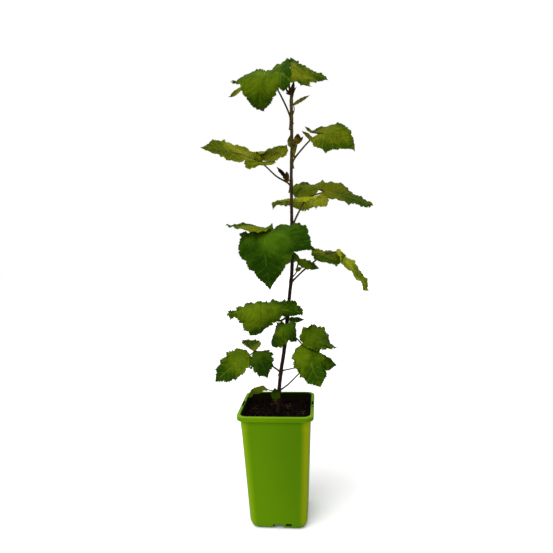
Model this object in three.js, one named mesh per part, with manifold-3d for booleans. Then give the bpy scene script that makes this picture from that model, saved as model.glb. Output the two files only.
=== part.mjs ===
// Potted tayberry: one bristly cane in a square nursery pot, with lobed and three-part leaves.
// Units are millimetres, +Z is up, and the origin is the centre of the pot's underside.
// -Y is the side that faces the viewer.

import * as THREE from 'three';
import { mergeVertices } from 'three/addons/utils/BufferGeometryUtils.js';
import Module from 'manifold-3d';

const wasm = await Module();
wasm.setup();

// Driving dimensions
const POT_HEIGHT = 205;
const RIM_SIDE = 130;
const RIM_CORNER = 16;
const SKIRT_DEPTH = 8;
const WALL = 1.3;
const BODY_TOP_SIDE = 120.6;
const BODY_LOW_SIDE = 100.5;
const BODY_CORNER = 14;
const FOOT_SIDE = 83;
const FOOT_CORNER = 12;
const CHANNEL_WIDTH = 18;
const CHANNEL_HEIGHT = 9.5;
const PAD_HALF = 22;
const DRAIN_LENGTH = 10;
const DRAIN_HEIGHT = 5.5;
const DRAIN_LEVEL = 8.6;
const DRAIN_OFFSET = 18;
const SLOT_LENGTH = 27;
const SLOT_WIDTH = 3.2;

const SOIL_LEVEL = 190;
const CLEAR = 0.3;

// Shortest length, margin points and rings of a large, a middling and a small blade.
const LEAF_SIZES = [
  [60, 26, [0.5, 1]],
  [30, 18, [0.55, 1]],
  [0, 10, [1]],
];
// A blade that bends down more than this, in degrees, has more rings.
const STRONG_BEND = 60;
const BENT_RINGS = [0.35, 0.7, 1];
const TOOTH = 0.03;
const LEAF_THICKNESS = 0.0125;
const STALK_SIDES = 5;
const CANE_SIDES = 8;
const CANE_STEPS = 26;

// Solid helpers

// A closed solid from any closed geometry.
function solid(geometry) {
  const bare = geometry.clone();
  for (const key of Object.keys(bare.attributes)) {
    if (key !== 'position') {
      bare.deleteAttribute(key);
    }
  }
  const merged = mergeVertices(bare, 1e-4);
  const index = merged.index.array;
  const position = merged.attributes.position.array;
  const kept = [];
  for (let i = 0; i < index.length; i += 3) {
    const [a, b, c] = [index[i], index[i + 1], index[i + 2]];
    if (a !== b && b !== c && c !== a) {
      kept.push(a, b, c);
    }
  }
  return new wasm.Manifold(new wasm.Mesh({
    numProp: 3,
    vertProperties: new Float32Array(position),
    triVerts: new Uint32Array(kept),
  }));
}

// The largest closed piece of a solid, as a geometry with flat facets.
function geometryOf(body) {
  const pieces = body.simplify(0.05).decompose();
  pieces.sort((p, q) => q.volume() - p.volume());
  const mesh = pieces[0].getMesh();
  const geometry = new THREE.BufferGeometry();
  geometry.setAttribute('position', new THREE.BufferAttribute(new Float32Array(mesh.vertProperties), 3));
  geometry.setIndex(new THREE.BufferAttribute(new Uint32Array(mesh.triVerts), 1));
  geometry.computeVertexNormals();
  return geometry;
}

function boxAt(x, y, z, sx, sy, sz, turn = 0) {
  const geometry = new THREE.BoxGeometry(sx, sy, sz);
  geometry.translate(x, y, z);
  geometry.rotateZ(turn);
  return solid(geometry);
}

// A round stalk that follows a curve and tapers along it.
function stalk(curve, radiusAt, sides, steps) {
  const geometry = new THREE.CylinderGeometry(1, 1, 1, sides, steps);
  geometry.rotateX(Math.PI / 2);
  const frames = curve.computeFrenetFrames(steps, false);
  const position = geometry.attributes.position;
  const point = new THREE.Vector3();
  for (let i = 0; i < position.count; i += 1) {
    const step = Math.round((0.5 + position.getZ(i)) * steps);
    const along = step / steps;
    const radius = radiusAt(along);
    curve.getPointAt(along, point);
    point.addScaledVector(frames.normals[step], position.getX(i) * radius);
    point.addScaledVector(frames.binormals[step], position.getY(i) * radius);
    position.setXYZ(i, point.x, point.y, point.z);
  }
  const made = solid(geometry);
  return made.volume() > 0 ? made : solid(flipped(geometry));
}

function flipped(geometry) {
  const turned = geometry.clone();
  const index = turned.index.array;
  for (let i = 0; i < index.length; i += 3) {
    [index[i], index[i + 1]] = [index[i + 1], index[i]];
  }
  return turned;
}

// Square pot

// Turns a lathe of round rings into rings that are squares with round corners.
function squareLathe(profile, arcSteps = 5) {
  const columns = 4 * (arcSteps + 1);
  const points = profile.map(([half, , z]) => new THREE.Vector2(half, z));
  const geometry = new THREE.LatheGeometry(points, columns);
  geometry.rotateX(Math.PI / 2);
  const position = geometry.attributes.position;
  const rows = profile.length;
  for (let i = 0; i < position.count; i += 1) {
    const column = Math.floor(i / rows) % columns;
    const [half, corner, z] = profile[i % rows];
    const quarter = Math.floor(column / (arcSteps + 1));
    const turn = (quarter + (column % (arcSteps + 1)) / arcSteps) * Math.PI / 2;
    const signX = [1, -1, -1, 1][quarter];
    const signY = [1, 1, -1, -1][quarter];
    const x = signX * Math.max(half - corner, 0) + Math.min(corner, half) * Math.cos(turn);
    const y = signY * Math.max(half - corner, 0) + Math.min(corner, half) * Math.sin(turn);
    position.setXYZ(i, x, y, z);
  }
  const made = solid(geometry);
  return made.volume() > 0 ? made : solid(flipped(geometry));
}

const bodyHalfAt = (z) => {
  const share = (z - 14.35) / (POT_HEIGHT - 14.35);
  return (BODY_LOW_SIDE + (BODY_TOP_SIDE - BODY_LOW_SIDE) * share) / 2;
};

const rimHalf = RIM_SIDE / 2;
const skirtInner = rimHalf - WALL;
const ledgeUnder = POT_HEIGHT - WALL;

const potOuter = squareLathe([
  [0, 0, 0],
  [FOOT_SIDE / 2, FOOT_CORNER, 0],
  [FOOT_SIDE / 2 + 3.4, FOOT_CORNER + 1, 1.6],
  [FOOT_SIDE / 2 + 6, FOOT_CORNER + 1, 4.6],
  [FOOT_SIDE / 2 + 7.8, FOOT_CORNER + 1.5, 9],
  [BODY_LOW_SIDE / 2, BODY_CORNER, 14.35],
  [bodyHalfAt(ledgeUnder), BODY_CORNER, ledgeUnder],
  [skirtInner, RIM_CORNER - WALL, ledgeUnder],
  [skirtInner, RIM_CORNER - WALL, POT_HEIGHT - SKIRT_DEPTH],
  [rimHalf, RIM_CORNER, POT_HEIGHT - SKIRT_DEPTH],
  [rimHalf, RIM_CORNER, POT_HEIGHT - 0.8],
  [rimHalf - 0.8, RIM_CORNER - 0.6, POT_HEIGHT],
  [0, 0, POT_HEIGHT],
]);

const innerHalfAt = (z) => bodyHalfAt(z) - WALL;
const cavityRings = (inset, floor, top) => [
  [0, 0, floor],
  [FOOT_SIDE / 2 - 1 - inset, FOOT_CORNER - 1, floor],
  [FOOT_SIDE / 2 + 4.7 - inset, FOOT_CORNER, floor + 4],
  [innerHalfAt(floor + 13) - inset, BODY_CORNER - WALL, floor + 13],
  [innerHalfAt(top) - inset, BODY_CORNER - WALL, top],
  [0, 0, top],
];
const potCavity = squareLathe(cavityRings(0, WALL, POT_HEIGHT + 1));

const channelLength = BODY_LOW_SIDE / 2 - PAD_HALF + 5;
const channelMiddle = PAD_HALF + channelLength / 2;

let potBody = potOuter;
let potInside = potCavity;
for (let side = 0; side < 4; side += 1) {
  const turn = side * Math.PI / 2;
  const roof = CHANNEL_HEIGHT + WALL;
  potInside = potInside.subtract(
    boxAt(channelMiddle, 0, roof / 2, channelLength + 2 * WALL, CHANNEL_WIDTH + 2 * WALL, roof, turn),
  );
}
potBody = potBody.subtract(potInside);
for (let side = 0; side < 4; side += 1) {
  const turn = side * Math.PI / 2;
  const drop = CHANNEL_HEIGHT / 2 - 1;
  potBody = potBody
    .subtract(boxAt(channelMiddle, 0, drop, channelLength, CHANNEL_WIDTH, CHANNEL_HEIGHT + 2, turn))
    .subtract(boxAt(FOOT_SIDE / 2 + 5, DRAIN_OFFSET, DRAIN_LEVEL, 9, DRAIN_LENGTH, DRAIN_HEIGHT, turn));
}
const slotMiddle = (bodyHalfAt(ledgeUnder) + skirtInner) / 2;
potBody = potBody
  .subtract(boxAt(slotMiddle, 0, POT_HEIGHT, SLOT_WIDTH, SLOT_LENGTH, 6))
  .subtract(boxAt(-slotMiddle, 0, POT_HEIGHT, SLOT_WIDTH, SLOT_LENGTH, 6));

// Compost

// A filling that stands clear of the pot's wall, with low lumps away from the cane's foot.
function compost() {
  const bottom = CHANNEL_HEIGHT + WALL + CLEAR;
  const edge = innerHalfAt(SOIL_LEVEL) - CLEAR;
  const rings = [
    [0, 0, bottom],
    [FOOT_SIDE / 2 + 4, FOOT_CORNER, bottom],
    [innerHalfAt(bottom + 10) - CLEAR - 0.2, BODY_CORNER - WALL, bottom + 10],
    [edge - 0.2, BODY_CORNER - WALL, SOIL_LEVEL - 2.5],
    [edge - 4, BODY_CORNER - 3, SOIL_LEVEL - 0.5],
    [edge - 16, BODY_CORNER - 2, SOIL_LEVEL + 1],
    [edge - 30, BODY_CORNER - 2, SOIL_LEVEL],
    [14, 12, SOIL_LEVEL],
    [0, 0, SOIL_LEVEL],
  ];
  return squareLathe(rings, 4);
}

// Cane

const CANE_PATH = [
  [0, 0, SOIL_LEVEL - 4],
  [3, 0, 228],
  [8.6, 0, 270],
  [13.7, 0, 298],
  [26.3, 0, 397],
  [32.4, 0, 450],
  [34.2, 0, 545],
  [35.5, 0, 615],
  [37.6, 0, 660],
  [38, 0, 700],
  [38.9, 0, 738],
];
const CANE_FOOT_RADIUS = 4.8;
const CANE_LOW_RADIUS = 3.5;
const CANE_TIP_RADIUS = 2.2;
const FLARE_LENGTH = 0.03;

const canePath = new THREE.CatmullRomCurve3(CANE_PATH.map((p) => new THREE.Vector3(...p)));

function caneRadius(along) {
  const flare = (CANE_FOOT_RADIUS - CANE_LOW_RADIUS) * Math.max(0, 1 - along / FLARE_LENGTH) ** 2;
  return CANE_LOW_RADIUS + (CANE_TIP_RADIUS - CANE_LOW_RADIUS) * along ** 1.3 + flare;
}

const cane = stalk(canePath, caneRadius, CANE_SIDES, CANE_STEPS)
  .subtract(boxAt(0, 0, SOIL_LEVEL + CLEAR - 10, 40, 40, 20));
const caneRoom = stalk(canePath, (along) => caneRadius(along) + CLEAR + 0.1, CANE_SIDES, CANE_STEPS);

function caneAxisAt(z) {
  let low = 0;
  let high = 1;
  const point = new THREE.Vector3();
  for (let i = 0; i < 24; i += 1) {
    const middle = (low + high) / 2;
    canePath.getPointAt(middle, point);
    if (point.z < z) {
      low = middle;
    } else {
      high = middle;
    }
  }
  return canePath.getPointAt(low);
}

// Leaves

// Half a blade's outline: distance from the stalk's end, as a share of the length,
// at each angle in degrees from the midrib.
const OUTLINE_ANGLES = [0, 6, 14, 26, 38, 50, 60, 70, 78, 88, 100, 116, 134, 152, 168, 180];
const LOBED = [1, 0.885, 0.765, 0.665, 0.605, 0.565, 0.6, 0.76, 0.8, 0.63, 0.53, 0.47, 0.41, 0.32, 0.16, 0.04];
const HEART = [1, 0.885, 0.775, 0.685, 0.64, 0.615, 0.605, 0.6, 0.58, 0.55, 0.52, 0.47, 0.41, 0.32, 0.16, 0.04];
const OVATE = [1, 0.9, 0.775, 0.625, 0.505, 0.41, 0.345, 0.285, 0.24, 0.19, 0.145, 0.1, 0.07, 0.05, 0.04, 0.035];

const radians = THREE.MathUtils.degToRad;
const clamp = THREE.MathUtils.clamp;

// Points along one side of the outline, tip to stalk, at equal steps along the margin.
function sideOutline(blade, reach, steps) {
  const corners = OUTLINE_ANGLES.map((angle, i) => {
    let radius = OVATE[i];
    if (blade.kind === 'lobed') {
      const lobe = 1 + (reach - 1) * clamp((angle - 50) / 20, 0, 1) * clamp((180 - angle) / 30, 0, 1);
      radius = (LOBED[i] * blade.lobes + HEART[i] * (1 - blade.lobes)) * lobe;
    }
    return new THREE.Vector3(
      radius * Math.cos(radians(angle)),
      radius * blade.width * Math.sin(radians(angle)),
      0,
    );
  });
  const path = new THREE.CurvePath();
  for (let i = 1; i < corners.length; i += 1) {
    path.add(new THREE.LineCurve3(corners[i - 1], corners[i]));
  }
  return Array.from({ length: steps + 1 }, (_, i) => path.getPoint(i / steps));
}

// Walks a line whose slope changes along it, and gives its run and rise at any distance.
function bentLine(slopeAt) {
  const steps = 52;
  const reach = 1.3;
  const table = [[0, 0]];
  for (let i = 1; i <= steps; i += 1) {
    const before = slopeAt((reach * (i - 1)) / steps);
    const after = slopeAt((reach * i) / steps);
    const [run, rise] = table[i - 1];
    const half = reach / steps / 2;
    table.push([
      run + (Math.cos(before) + Math.cos(after)) * half,
      rise + (Math.sin(before) + Math.sin(after)) * half,
    ]);
  }
  return (distance) => {
    const place = Math.min((distance / reach) * steps, steps - 1e-6);
    const low = Math.floor(place);
    const share = place - low;
    return [0, 1].map((k) => table[low][k] * (1 - share) + table[low + 1][k] * share);
  };
}

// A blade's bent surface: its two sides fold and curl about the midrib, it twists along the
// midrib, and it bends down in front of the stalk's end and behind it.
function bladeSurface(blade) {
  const side = ([fold, curl, lobeCurl]) => bentLine((a) => (
    radians(fold) * clamp(a / 0.08, 0, 1) + radians(curl) * a + radians(lobeCurl) * Math.max(a - 0.3, 0)
  ));
  const left = side(blade.left);
  const right = side(blade.right);
  const frontSlope = (s) => radians(blade.bend) * clamp(s / 0.35, 0, 1) + radians(blade.droop) * s;
  const backSlope = (s) => radians(blade.back) * s;
  const front = bentLine(frontSlope);
  const back = bentLine(backSlope);
  return (u, v) => {
    const wave = blade.wave * (u * u + v * v) * Math.sin(7 * Math.atan2(v, u) + blade.turn);
    let [y, z] = (v < 0 ? right : left)(Math.abs(v));
    y *= Math.sign(v);
    z += wave;
    const twist = radians(blade.twist) * Math.max(u, 0);
    const turnedY = y * Math.cos(twist) - z * Math.sin(twist);
    const turnedZ = y * Math.sin(twist) + z * Math.cos(twist);
    const ahead = u >= 0;
    const [run, drop] = (ahead ? front : back)(Math.abs(u));
    const slope = ahead ? frontSlope(u) : -backSlope(-u);
    return new THREE.Vector3(
      (ahead ? run : -run) + turnedZ * Math.sin(slope),
      turnedY,
      -drop + turnedZ * Math.cos(slope),
    );
  };
}

// Turn about Z, then dip of the midrib, then roll about the midrib.
function bladeFrame(blade) {
  const euler = new THREE.Euler(radians(blade.roll), radians(blade.dip), radians(blade.turn), 'ZYX');
  return new THREE.Matrix4().compose(
    new THREE.Vector3(...blade.at),
    new THREE.Quaternion().setFromEuler(euler),
    new THREE.Vector3(blade.length, blade.length, blade.length),
  );
}

// A lathed disc whose rim is drawn out to the toothed outline, then bent.
function bladeSolid(blade) {
  const [, turns, usualRings] = LEAF_SIZES.find(([least]) => blade.length >= least);
  const bent = blade.length > 40 && Math.abs(blade.bend) + Math.abs(blade.droop) > STRONG_BEND;
  const rings = bent ? BENT_RINGS : usualRings;
  const profile = [
    [0, 1],
    ...rings.map((r) => [r, 1]),
    ...rings.toReversed().map((r) => [r, -1]),
    [0, -1],
  ];
  const geometry = new THREE.LatheGeometry(profile.map(([r, h]) => new THREE.Vector2(r, h)), turns);
  const half = turns / 2;
  const left = sideOutline(blade, blade.left[3], half);
  const right = sideOutline(blade, blade.right[3], half);
  const surface = bladeSurface(blade);
  const frame = bladeFrame(blade);
  const position = geometry.attributes.position;
  const rows = profile.length;
  const step = 0.01;
  for (let i = 0; i < position.count; i += 1) {
    const column = Math.floor(i / rows);
    const [radius, facing] = profile[i % rows];
    const onLeft = column <= half;
    const rim = onLeft ? left[column] : right[turns - column];
    const edge = radius === 1 && column % half !== 0;
    const share = radius * (edge ? 1 + (column % 2 === 1 ? TOOTH : -TOOTH) : 1);
    const u = rim.x * share;
    const v = rim.y * share * (onLeft ? 1 : -1);
    const point = surface(u, v);
    const alongU = surface(u + step, v).sub(surface(u - step, v));
    const alongV = surface(u, v + step).sub(surface(u, v - step));
    const normal = alongU.cross(alongV).normalize();
    point.addScaledVector(normal, (facing * LEAF_THICKNESS) / 2).applyMatrix4(frame);
    position.setXYZ(i, point.x, point.y, point.z);
  }
  const made = solid(geometry);
  return made.volume() > 0 ? made : solid(flipped(geometry));
}

// Plant table
// Each leaf grows from the cane at the height root, by a stalk through the given points.
// left and right: fold, curl and outer curl in degrees, and the side lobe's reach.
const LEAVES = [
  {
    name: 'leaf_top_left',
    colour: '#4d6a1e',
    root: 702.6,
    stalkRadius: 1.5,
    stalk: [[21.8, -14.0, 736.7], [11.4, -30.0, 751.4], [-3.0, -38.0, 763.6]],
    blades: [
      {
        kind: 'lobed', lobes: 1.0, width: 1.0, at: [-3.0, -38.0, 763.6], length: 74,
        turn: -112, dip: 31, roll: -15, left: [22, 20, 11, 1.19], right: [-8, -11, -65, 1.09],
        bend: 53, droop: 82, back: -40, twist: -36, wave: 0.03,
      },
      {
        kind: 'ovate', lobes: 0, width: 0.55, at: [-38.5, -36.7, 743.8], length: 28,
        turn: 171, dip: 35, roll: -80, left: [22, 0, 0, 1.0], right: [22, 0, 0, 1.0],
        bend: 0, droop: -30, back: 20, twist: 0, wave: 0.015,
      },
    ],
  },
  {
    name: 'leaf_top_right',
    colour: '#4d6a1e',
    root: 730.0,
    stalkRadius: 1.4,
    stalk: [[43.0, 17.0, 759.9], [39.7, 25.0, 784.5], [43.2, 30.0, 794.5]],
    blades: [
      {
        kind: 'lobed', lobes: 1.0, width: 1.0, at: [43.2, 30.0, 794.5], length: 71,
        turn: 25, dip: 6, roll: 50, left: [-15, 18, 0, 0.84], right: [-14, 40, 0, 1.02],
        bend: 0, droop: 14, back: 34, twist: -1, wave: 0.03,
      },
    ],
  },
  {
    name: 'leaf_upper_right',
    colour: '#5f7a22',
    root: 629,
    stalkRadius: 1.5,
    stalk: [[55.0, -8.0, 648.4], [73.9, -15.0, 664.0], [92.0, -20.0, 669.1]],
    blades: [
      {
        kind: 'lobed', lobes: 0.0, width: 1.0, at: [92.0, -20.0, 669.1], length: 62,
        turn: -11, dip: 2, roll: 17, left: [29, -40, 0, 1.13], right: [-24, -38, 0, 1.09],
        bend: 0, droop: 65, back: 34, twist: 40, wave: 0.03,
      },
      {
        kind: 'ovate', lobes: 0, width: 0.46, at: [73.2, -17.0, 660.1], length: 24,
        turn: -164, dip: -42, roll: -95, left: [18, 0, 0, 1.0], right: [18, 0, 0, 1.0],
        bend: 0, droop: 15, back: 20, twist: 0, wave: 0.015,
      },
      {
        kind: 'ovate', lobes: 0, width: 0.5, at: [72.5, -19.0, 672.0], length: 16,
        turn: -166, dip: -40, roll: -100, left: [15, 0, 0, 1.0], right: [15, 0, 0, 1.0],
        bend: 0, droop: 10, back: 20, twist: 0, wave: 0.015,
      },
    ],
  },
  {
    name: 'leaf_upper_left',
    colour: '#7a8a35',
    root: 588.5,
    stalkRadius: 1.5,
    stalk: [[9.5, -5.0, 606.0], [-5.2, -8.0, 620.5], [-15.7, -8.0, 629.9]],
    blades: [
      {
        kind: 'ovate', lobes: 0.0, width: 1.1, at: [-15.7, -8.0, 629.9], length: 106,
        turn: -165, dip: -30, roll: -28, left: [16, 37, 40, 1.0], right: [-21, -42, -16, 1.0],
        bend: 9, droop: 15, back: 13, twist: 36, wave: 0.03,
      },
      {
        kind: 'ovate', lobes: 0.0, width: 1.2, at: [-18.6, -6.0, 637.2], length: 73,
        turn: -36, dip: -28, roll: -19, left: [6, -27, -21, 1.0], right: [-19, 3, 19, 1.0],
        bend: 38, droop: -17, back: -4, twist: 7, wave: 0.03,
      },
      {
        kind: 'ovate', lobes: 0.0, width: 1.2, at: [-9.3, -10.0, 624.2], length: 63,
        turn: -100, dip: -22, roll: -12, left: [7, 24, 7, 1.0], right: [-10, 7, 8, 1.0],
        bend: 14, droop: 55, back: -23, twist: -3, wave: 0.03,
      },
    ],
  },
  {
    name: 'leaf_middle_right',
    colour: '#55731f',
    root: 520.5,
    stalkRadius: 1.6,
    stalk: [[47.9, 5.0, 547.1], [62.5, 14.0, 568.5], [90.8, 22.0, 578.6]],
    blades: [
      {
        kind: 'ovate', lobes: 0.0, width: 1.2, at: [90.8, 22.0, 578.6], length: 96,
        turn: 8, dip: 3, roll: 39, left: [-1, 22, -1, 1.0], right: [12, 22, 17, 1.0],
        bend: 13, droop: 17, back: -27, twist: -5, wave: 0.03,
      },
      {
        kind: 'ovate', lobes: 0.0, width: 1.2, at: [81.9, 24.0, 583.6], length: 80,
        turn: 141, dip: -31, roll: -29, left: [-15, -18, 0, 1.0], right: [-21, 32, 4, 1.0],
        bend: 35, droop: -14, back: -27, twist: -5, wave: 0.03,
      },
      {
        kind: 'ovate', lobes: 0.0, width: 1.0, at: [84.9, 20.0, 571.7], length: 125,
        turn: 141, dip: 2, roll: -1, left: [-9, 10, 7, 1.0], right: [-29, -1, -6, 1.0],
        bend: -11, droop: 24, back: 14, twist: 5, wave: 0.03,
      },
    ],
  },
  {
    name: 'leaf_heart',
    colour: '#34541a',
    root: 479.1,
    stalkRadius: 1.7,
    stalk: [[22.7, -16.0, 500.3], [9.5, -34.0, 512.3], [1.0, -48.0, 511.7]],
    blades: [
      {
        kind: 'lobed', lobes: 0.4, width: 1.0, at: [1.0, -48.0, 511.7], length: 107,
        turn: -119, dip: 28, roll: -5, left: [-2, -14, -51, 1.2], right: [-9, 27, 7, 0.75],
        bend: 73, droop: 9, back: 34, twist: -21, wave: 0.03,
      },
      {
        kind: 'ovate', lobes: 0, width: 1.0, at: [-2.4, -46.0, 514.9], length: 82,
        turn: 161, dip: -15, roll: -7, left: [-10, 0, 0, 1.0], right: [-10, 0, 0, 1.0],
        bend: 0, droop: 15, back: 20, twist: 0, wave: 0.03,
      },
    ],
  },
  {
    name: 'leaf_lower_right',
    colour: '#6c8127',
    root: 421.5,
    stalkRadius: 1.6,
    stalk: [[52.0, -1.0, 443.2], [68.9, 0.0, 456.6], [89.8, 0.0, 472.1]],
    blades: [
      {
        kind: 'lobed', lobes: 0.0, width: 1.0, at: [89.8, 0.0, 472.1], length: 55,
        turn: -74, dip: 27, roll: -32, left: [16, 39, 53, 1.12], right: [-22, -25, 2, 0.83],
        bend: -10, droop: 8, back: 17, twist: 4, wave: 0.03,
      },
      {
        kind: 'ovate', lobes: 0.0, width: 1.0, at: [111.3, -1.0, 473.2], length: 88,
        turn: 5, dip: 49, roll: 29, left: [-14, -17, 14, 1.0], right: [15, 15, -19, 1.0],
        bend: -2, droop: 6, back: -6, twist: 13, wave: 0.03,
      },
    ],
  },
  {
    name: 'leaf_lower_left',
    colour: '#58761f',
    root: 361.7,
    stalkRadius: 1.6,
    stalk: [[8.5, -9.0, 356.8], [-3.9, -28.0, 369.7], [-19.2, -42.0, 389.1]],
    blades: [
      {
        kind: 'lobed', lobes: 0.8, width: 1.0, at: [-19.2, -42.0, 389.1], length: 81,
        turn: -71, dip: 19, roll: -2, left: [-12, 51, 8, 1.15], right: [-25, 33, 47, 0.96],
        bend: 74, droop: 68, back: 64, twist: -40, wave: 0.03,
      },
    ],
  },
  {
    name: 'leaf_centre',
    colour: '#46681c',
    root: 310.0,
    stalkRadius: 1.5,
    stalk: [[23.4, -9.0, 326.3], [25.7, -22.0, 344.8], [28.4, -34.0, 357.0]],
    blades: [
      {
        kind: 'ovate', lobes: 0.0, width: 1.3, at: [28.4, -34.0, 357.0], length: 43,
        turn: -43, dip: 46, roll: 34, left: [-39, -21, 2, 1.0], right: [12, -19, 0, 1.0],
        bend: 74, droop: -8, back: 0, twist: -31, wave: 0.015,
      },
      {
        kind: 'ovate', lobes: 0.0, width: 1.3, at: [21.0, -34.0, 349.5], length: 60,
        turn: -170, dip: 15, roll: -47, left: [-44, 5, 0, 1.0], right: [-33, 33, 7, 1.0],
        bend: 22, droop: 72, back: 19, twist: 16, wave: 0.03,
      },
      {
        kind: 'ovate', lobes: 0, width: 0.62, at: [27.3, -14.0, 360.7], length: 26,
        turn: -14, dip: 5, roll: 95, left: [20, 0, 0, 1.0], right: [20, 0, 0, 1.0],
        bend: 0, droop: 35, back: 20, twist: 0, wave: 0.015,
      },
    ],
  },
  {
    name: 'leaf_young_right',
    colour: '#4a6a20',
    root: 429.5,
    stalkRadius: 1.1,
    stalk: [[40.0, -3.0, 441.0], [43.7, -6.0, 457.6]],
    blades: [
      {
        kind: 'ovate', lobes: 0, width: 0.6, at: [43.8, -6.0, 459.1], length: 39,
        turn: -13, dip: 19, roll: 90, left: [-12, 0, 0, 1.0], right: [-12, 0, 0, 1.0],
        bend: 0, droop: 4, back: 20, twist: 0, wave: 0.015,
      },
      {
        kind: 'ovate', lobes: 0, width: 0.72, at: [44.0, -6.0, 460.1], length: 20,
        turn: -136, dip: -56, roll: -135, left: [10, 0, 0, 1.0], right: [10, 0, 0, 1.0],
        bend: 0, droop: 6, back: 20, twist: 0, wave: 0.015,
      },
      {
        kind: 'ovate', lobes: 0, width: 1.0, at: [39.5, -8.0, 444.0], length: 12,
        turn: -21, dip: -24, roll: 95, left: [15, 0, 0, 1.0], right: [15, 0, 0, 1.0],
        bend: 0, droop: 10, back: 20, twist: 0, wave: 0.015,
      },
    ],
  },
  {
    name: 'leaf_three_left',
    colour: '#3f6a1c',
    root: 262.9,
    stalkRadius: 1.5,
    stalk: [[-5.4, -9.0, 275.5], [-22.4, -24.0, 293.2], [-36.7, -30.0, 305.7]],
    blades: [
      {
        kind: 'ovate', lobes: 0.0, width: 1.0, at: [-44.7, -30.0, 300.6], length: 72,
        turn: -148, dip: 13, roll: -28, left: [4, -1, 5, 1.0], right: [8, 14, -2, 1.0],
        bend: 26, droop: 6, back: 13, twist: -35, wave: 0.03,
      },
      {
        kind: 'ovate', lobes: 0.0, width: 1.0, at: [-32.6, -30.0, 307.2], length: 71,
        turn: -70, dip: -14, roll: 7, left: [-5, -12, -1, 1.0], right: [-45, -32, 0, 1.0],
        bend: 40, droop: 6, back: 8, twist: 16, wave: 0.03,
      },
      {
        kind: 'ovate', lobes: 0.0, width: 1.0, at: [-34.5, -30.0, 309.6], length: 55,
        turn: 113, dip: 2, roll: 4, left: [29, 10, 13, 1.0], right: [35, 6, -3, 1.0],
        bend: -5, droop: -15, back: 26, twist: -4, wave: 0.03,
      },
    ],
  },
  {
    name: 'leaf_three_right',
    colour: '#49701c',
    root: 329.6,
    stalkRadius: 1.5,
    stalk: [[36.6, -11.0, 326.6], [47.2, -21.0, 317.8]],
    blades: [
      {
        kind: 'ovate', lobes: 0.0, width: 1.0, at: [50.9, -22.0, 321.8], length: 78,
        turn: 23, dip: -21, roll: 30, left: [37, -12, 5, 1.0], right: [-4, -25, 1, 1.0],
        bend: 11, droop: 66, back: -10, twist: -5, wave: 0.03,
      },
      {
        kind: 'ovate', lobes: 0.0, width: 1.0, at: [49.0, -24.0, 315.7], length: 83,
        turn: -63, dip: 33, roll: 10, left: [-13, -2, 0, 1.0], right: [-26, -2, 3, 1.0],
        bend: 17, droop: -10, back: -2, twist: 6, wave: 0.03,
      },
    ],
  },
  {
    name: 'leaf_foot_right',
    colour: '#5d7f22',
    root: 228.1,
    stalkRadius: 1.3,
    stalk: [[19.3, 2.0, 239.5], [41.3, 3.0, 261.1], [59.4, 4.0, 278.0]],
    blades: [
      {
        kind: 'ovate', lobes: 0, width: 1.1, at: [63.0, 4.0, 279.8], length: 44,
        turn: -8, dip: 7, roll: 85, left: [-8, 0, 0, 1.0], right: [-8, 0, 0, 1.0],
        bend: 0, droop: 20, back: 20, twist: 0, wave: 0.015,
      },
    ],
  },
  {
    name: 'leaf_foot_short',
    colour: '#49701c',
    root: 264.7,
    stalkRadius: 1.2,
    stalk: [[23.7, 2.0, 267.8], [39.6, 6.0, 270.2]],
    blades: [
      {
        kind: 'ovate', lobes: 0, width: 1.0, at: [41.4, 6.0, 270.2], length: 26,
        turn: 11, dip: -35, roll: 85, left: [10, 0, 0, 1.0], right: [10, 0, 0, 1.0],
        bend: 0, droop: 20, back: 20, twist: 0, wave: 0.015,
      },
    ],
  },
  {
    name: 'leaf_foot_left',
    colour: '#5a6c20',
    root: 211.6,
    stalkRadius: 1.3,
    stalk: [[-3.8, 12.0, 221.2], [-21.6, 33.3, 219.2]],
    blades: [
      {
        kind: 'ovate', lobes: 0, width: 0.9, at: [-21.6, 33.3, 219.2], length: 46,
        turn: 213, dip: -32, roll: -7, left: [8.9, 0.0, 0.0, 1.0], right: [8.9, 0.0, 0.0, 1.0],
        bend: 39, droop: 27, back: 20, twist: 0, wave: 0.03,
      },
    ],
  },
  {
    name: 'leaf_foot_small',
    colour: '#3c5a20',
    root: 204.3,
    stalkRadius: 1.1,
    stalk: [[-3.8, -9.0, 211.3], [-2.0, -8.0, 214.6]],
    blades: [
      {
        kind: 'ovate', lobes: 0, width: 1.2, at: [-1.9, -8.0, 216.4], length: 21,
        turn: 136, dip: -85, roll: -35, left: [10, 0, 0, 1.0], right: [10, 0, 0, 1.0],
        bend: 0, droop: 60, back: 20, twist: 0, wave: 0.015,
      },
    ],
  },
  {
    name: 'leaf_back_upper',
    colour: '#3f611c',
    root: 468.7,
    stalkRadius: 1.5,
    stalk: [[24.3, 22.0, 471.7], [7.6, 50.0, 476.7], [-0.3, 72.0, 470.5]],
    blades: [
      {
        kind: 'lobed', lobes: 0.5, width: 1.0, at: [-0.3, 72.0, 470.5], length: 78,
        turn: 84, dip: -14, roll: 8, left: [-12, 0, 0, 1.0], right: [-12, 0, 0, 1.0],
        bend: 0, droop: 60, back: 20, twist: 0, wave: 0.03,
      },
    ],
  },
  {
    name: 'leaf_back_lower',
    colour: '#3f611c',
    root: 356.4,
    stalkRadius: 1.4,
    stalk: [[14.7, 14.0, 364.8], [9.5, 34.0, 366.1], [6.3, 50.0, 367.3]],
    blades: [
      {
        kind: 'lobed', lobes: 0.5, width: 1.0, at: [6.3, 50.0, 367.3], length: 58,
        turn: 104, dip: -10, roll: -6, left: [-10, 0, 0, 1.0], right: [-10, 0, 0, 1.0],
        bend: 0, droop: 55, back: 20, twist: 0, wave: 0.03,
      },
    ],
  },
  {
    name: 'leaf_narrow_top',
    colour: '#4a4c22',
    root: 702.6,
    stalkRadius: 1.0,
    stalk: [[43.2, -2.0, 714.6], [42.5, -3.0, 723.2]],
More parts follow.
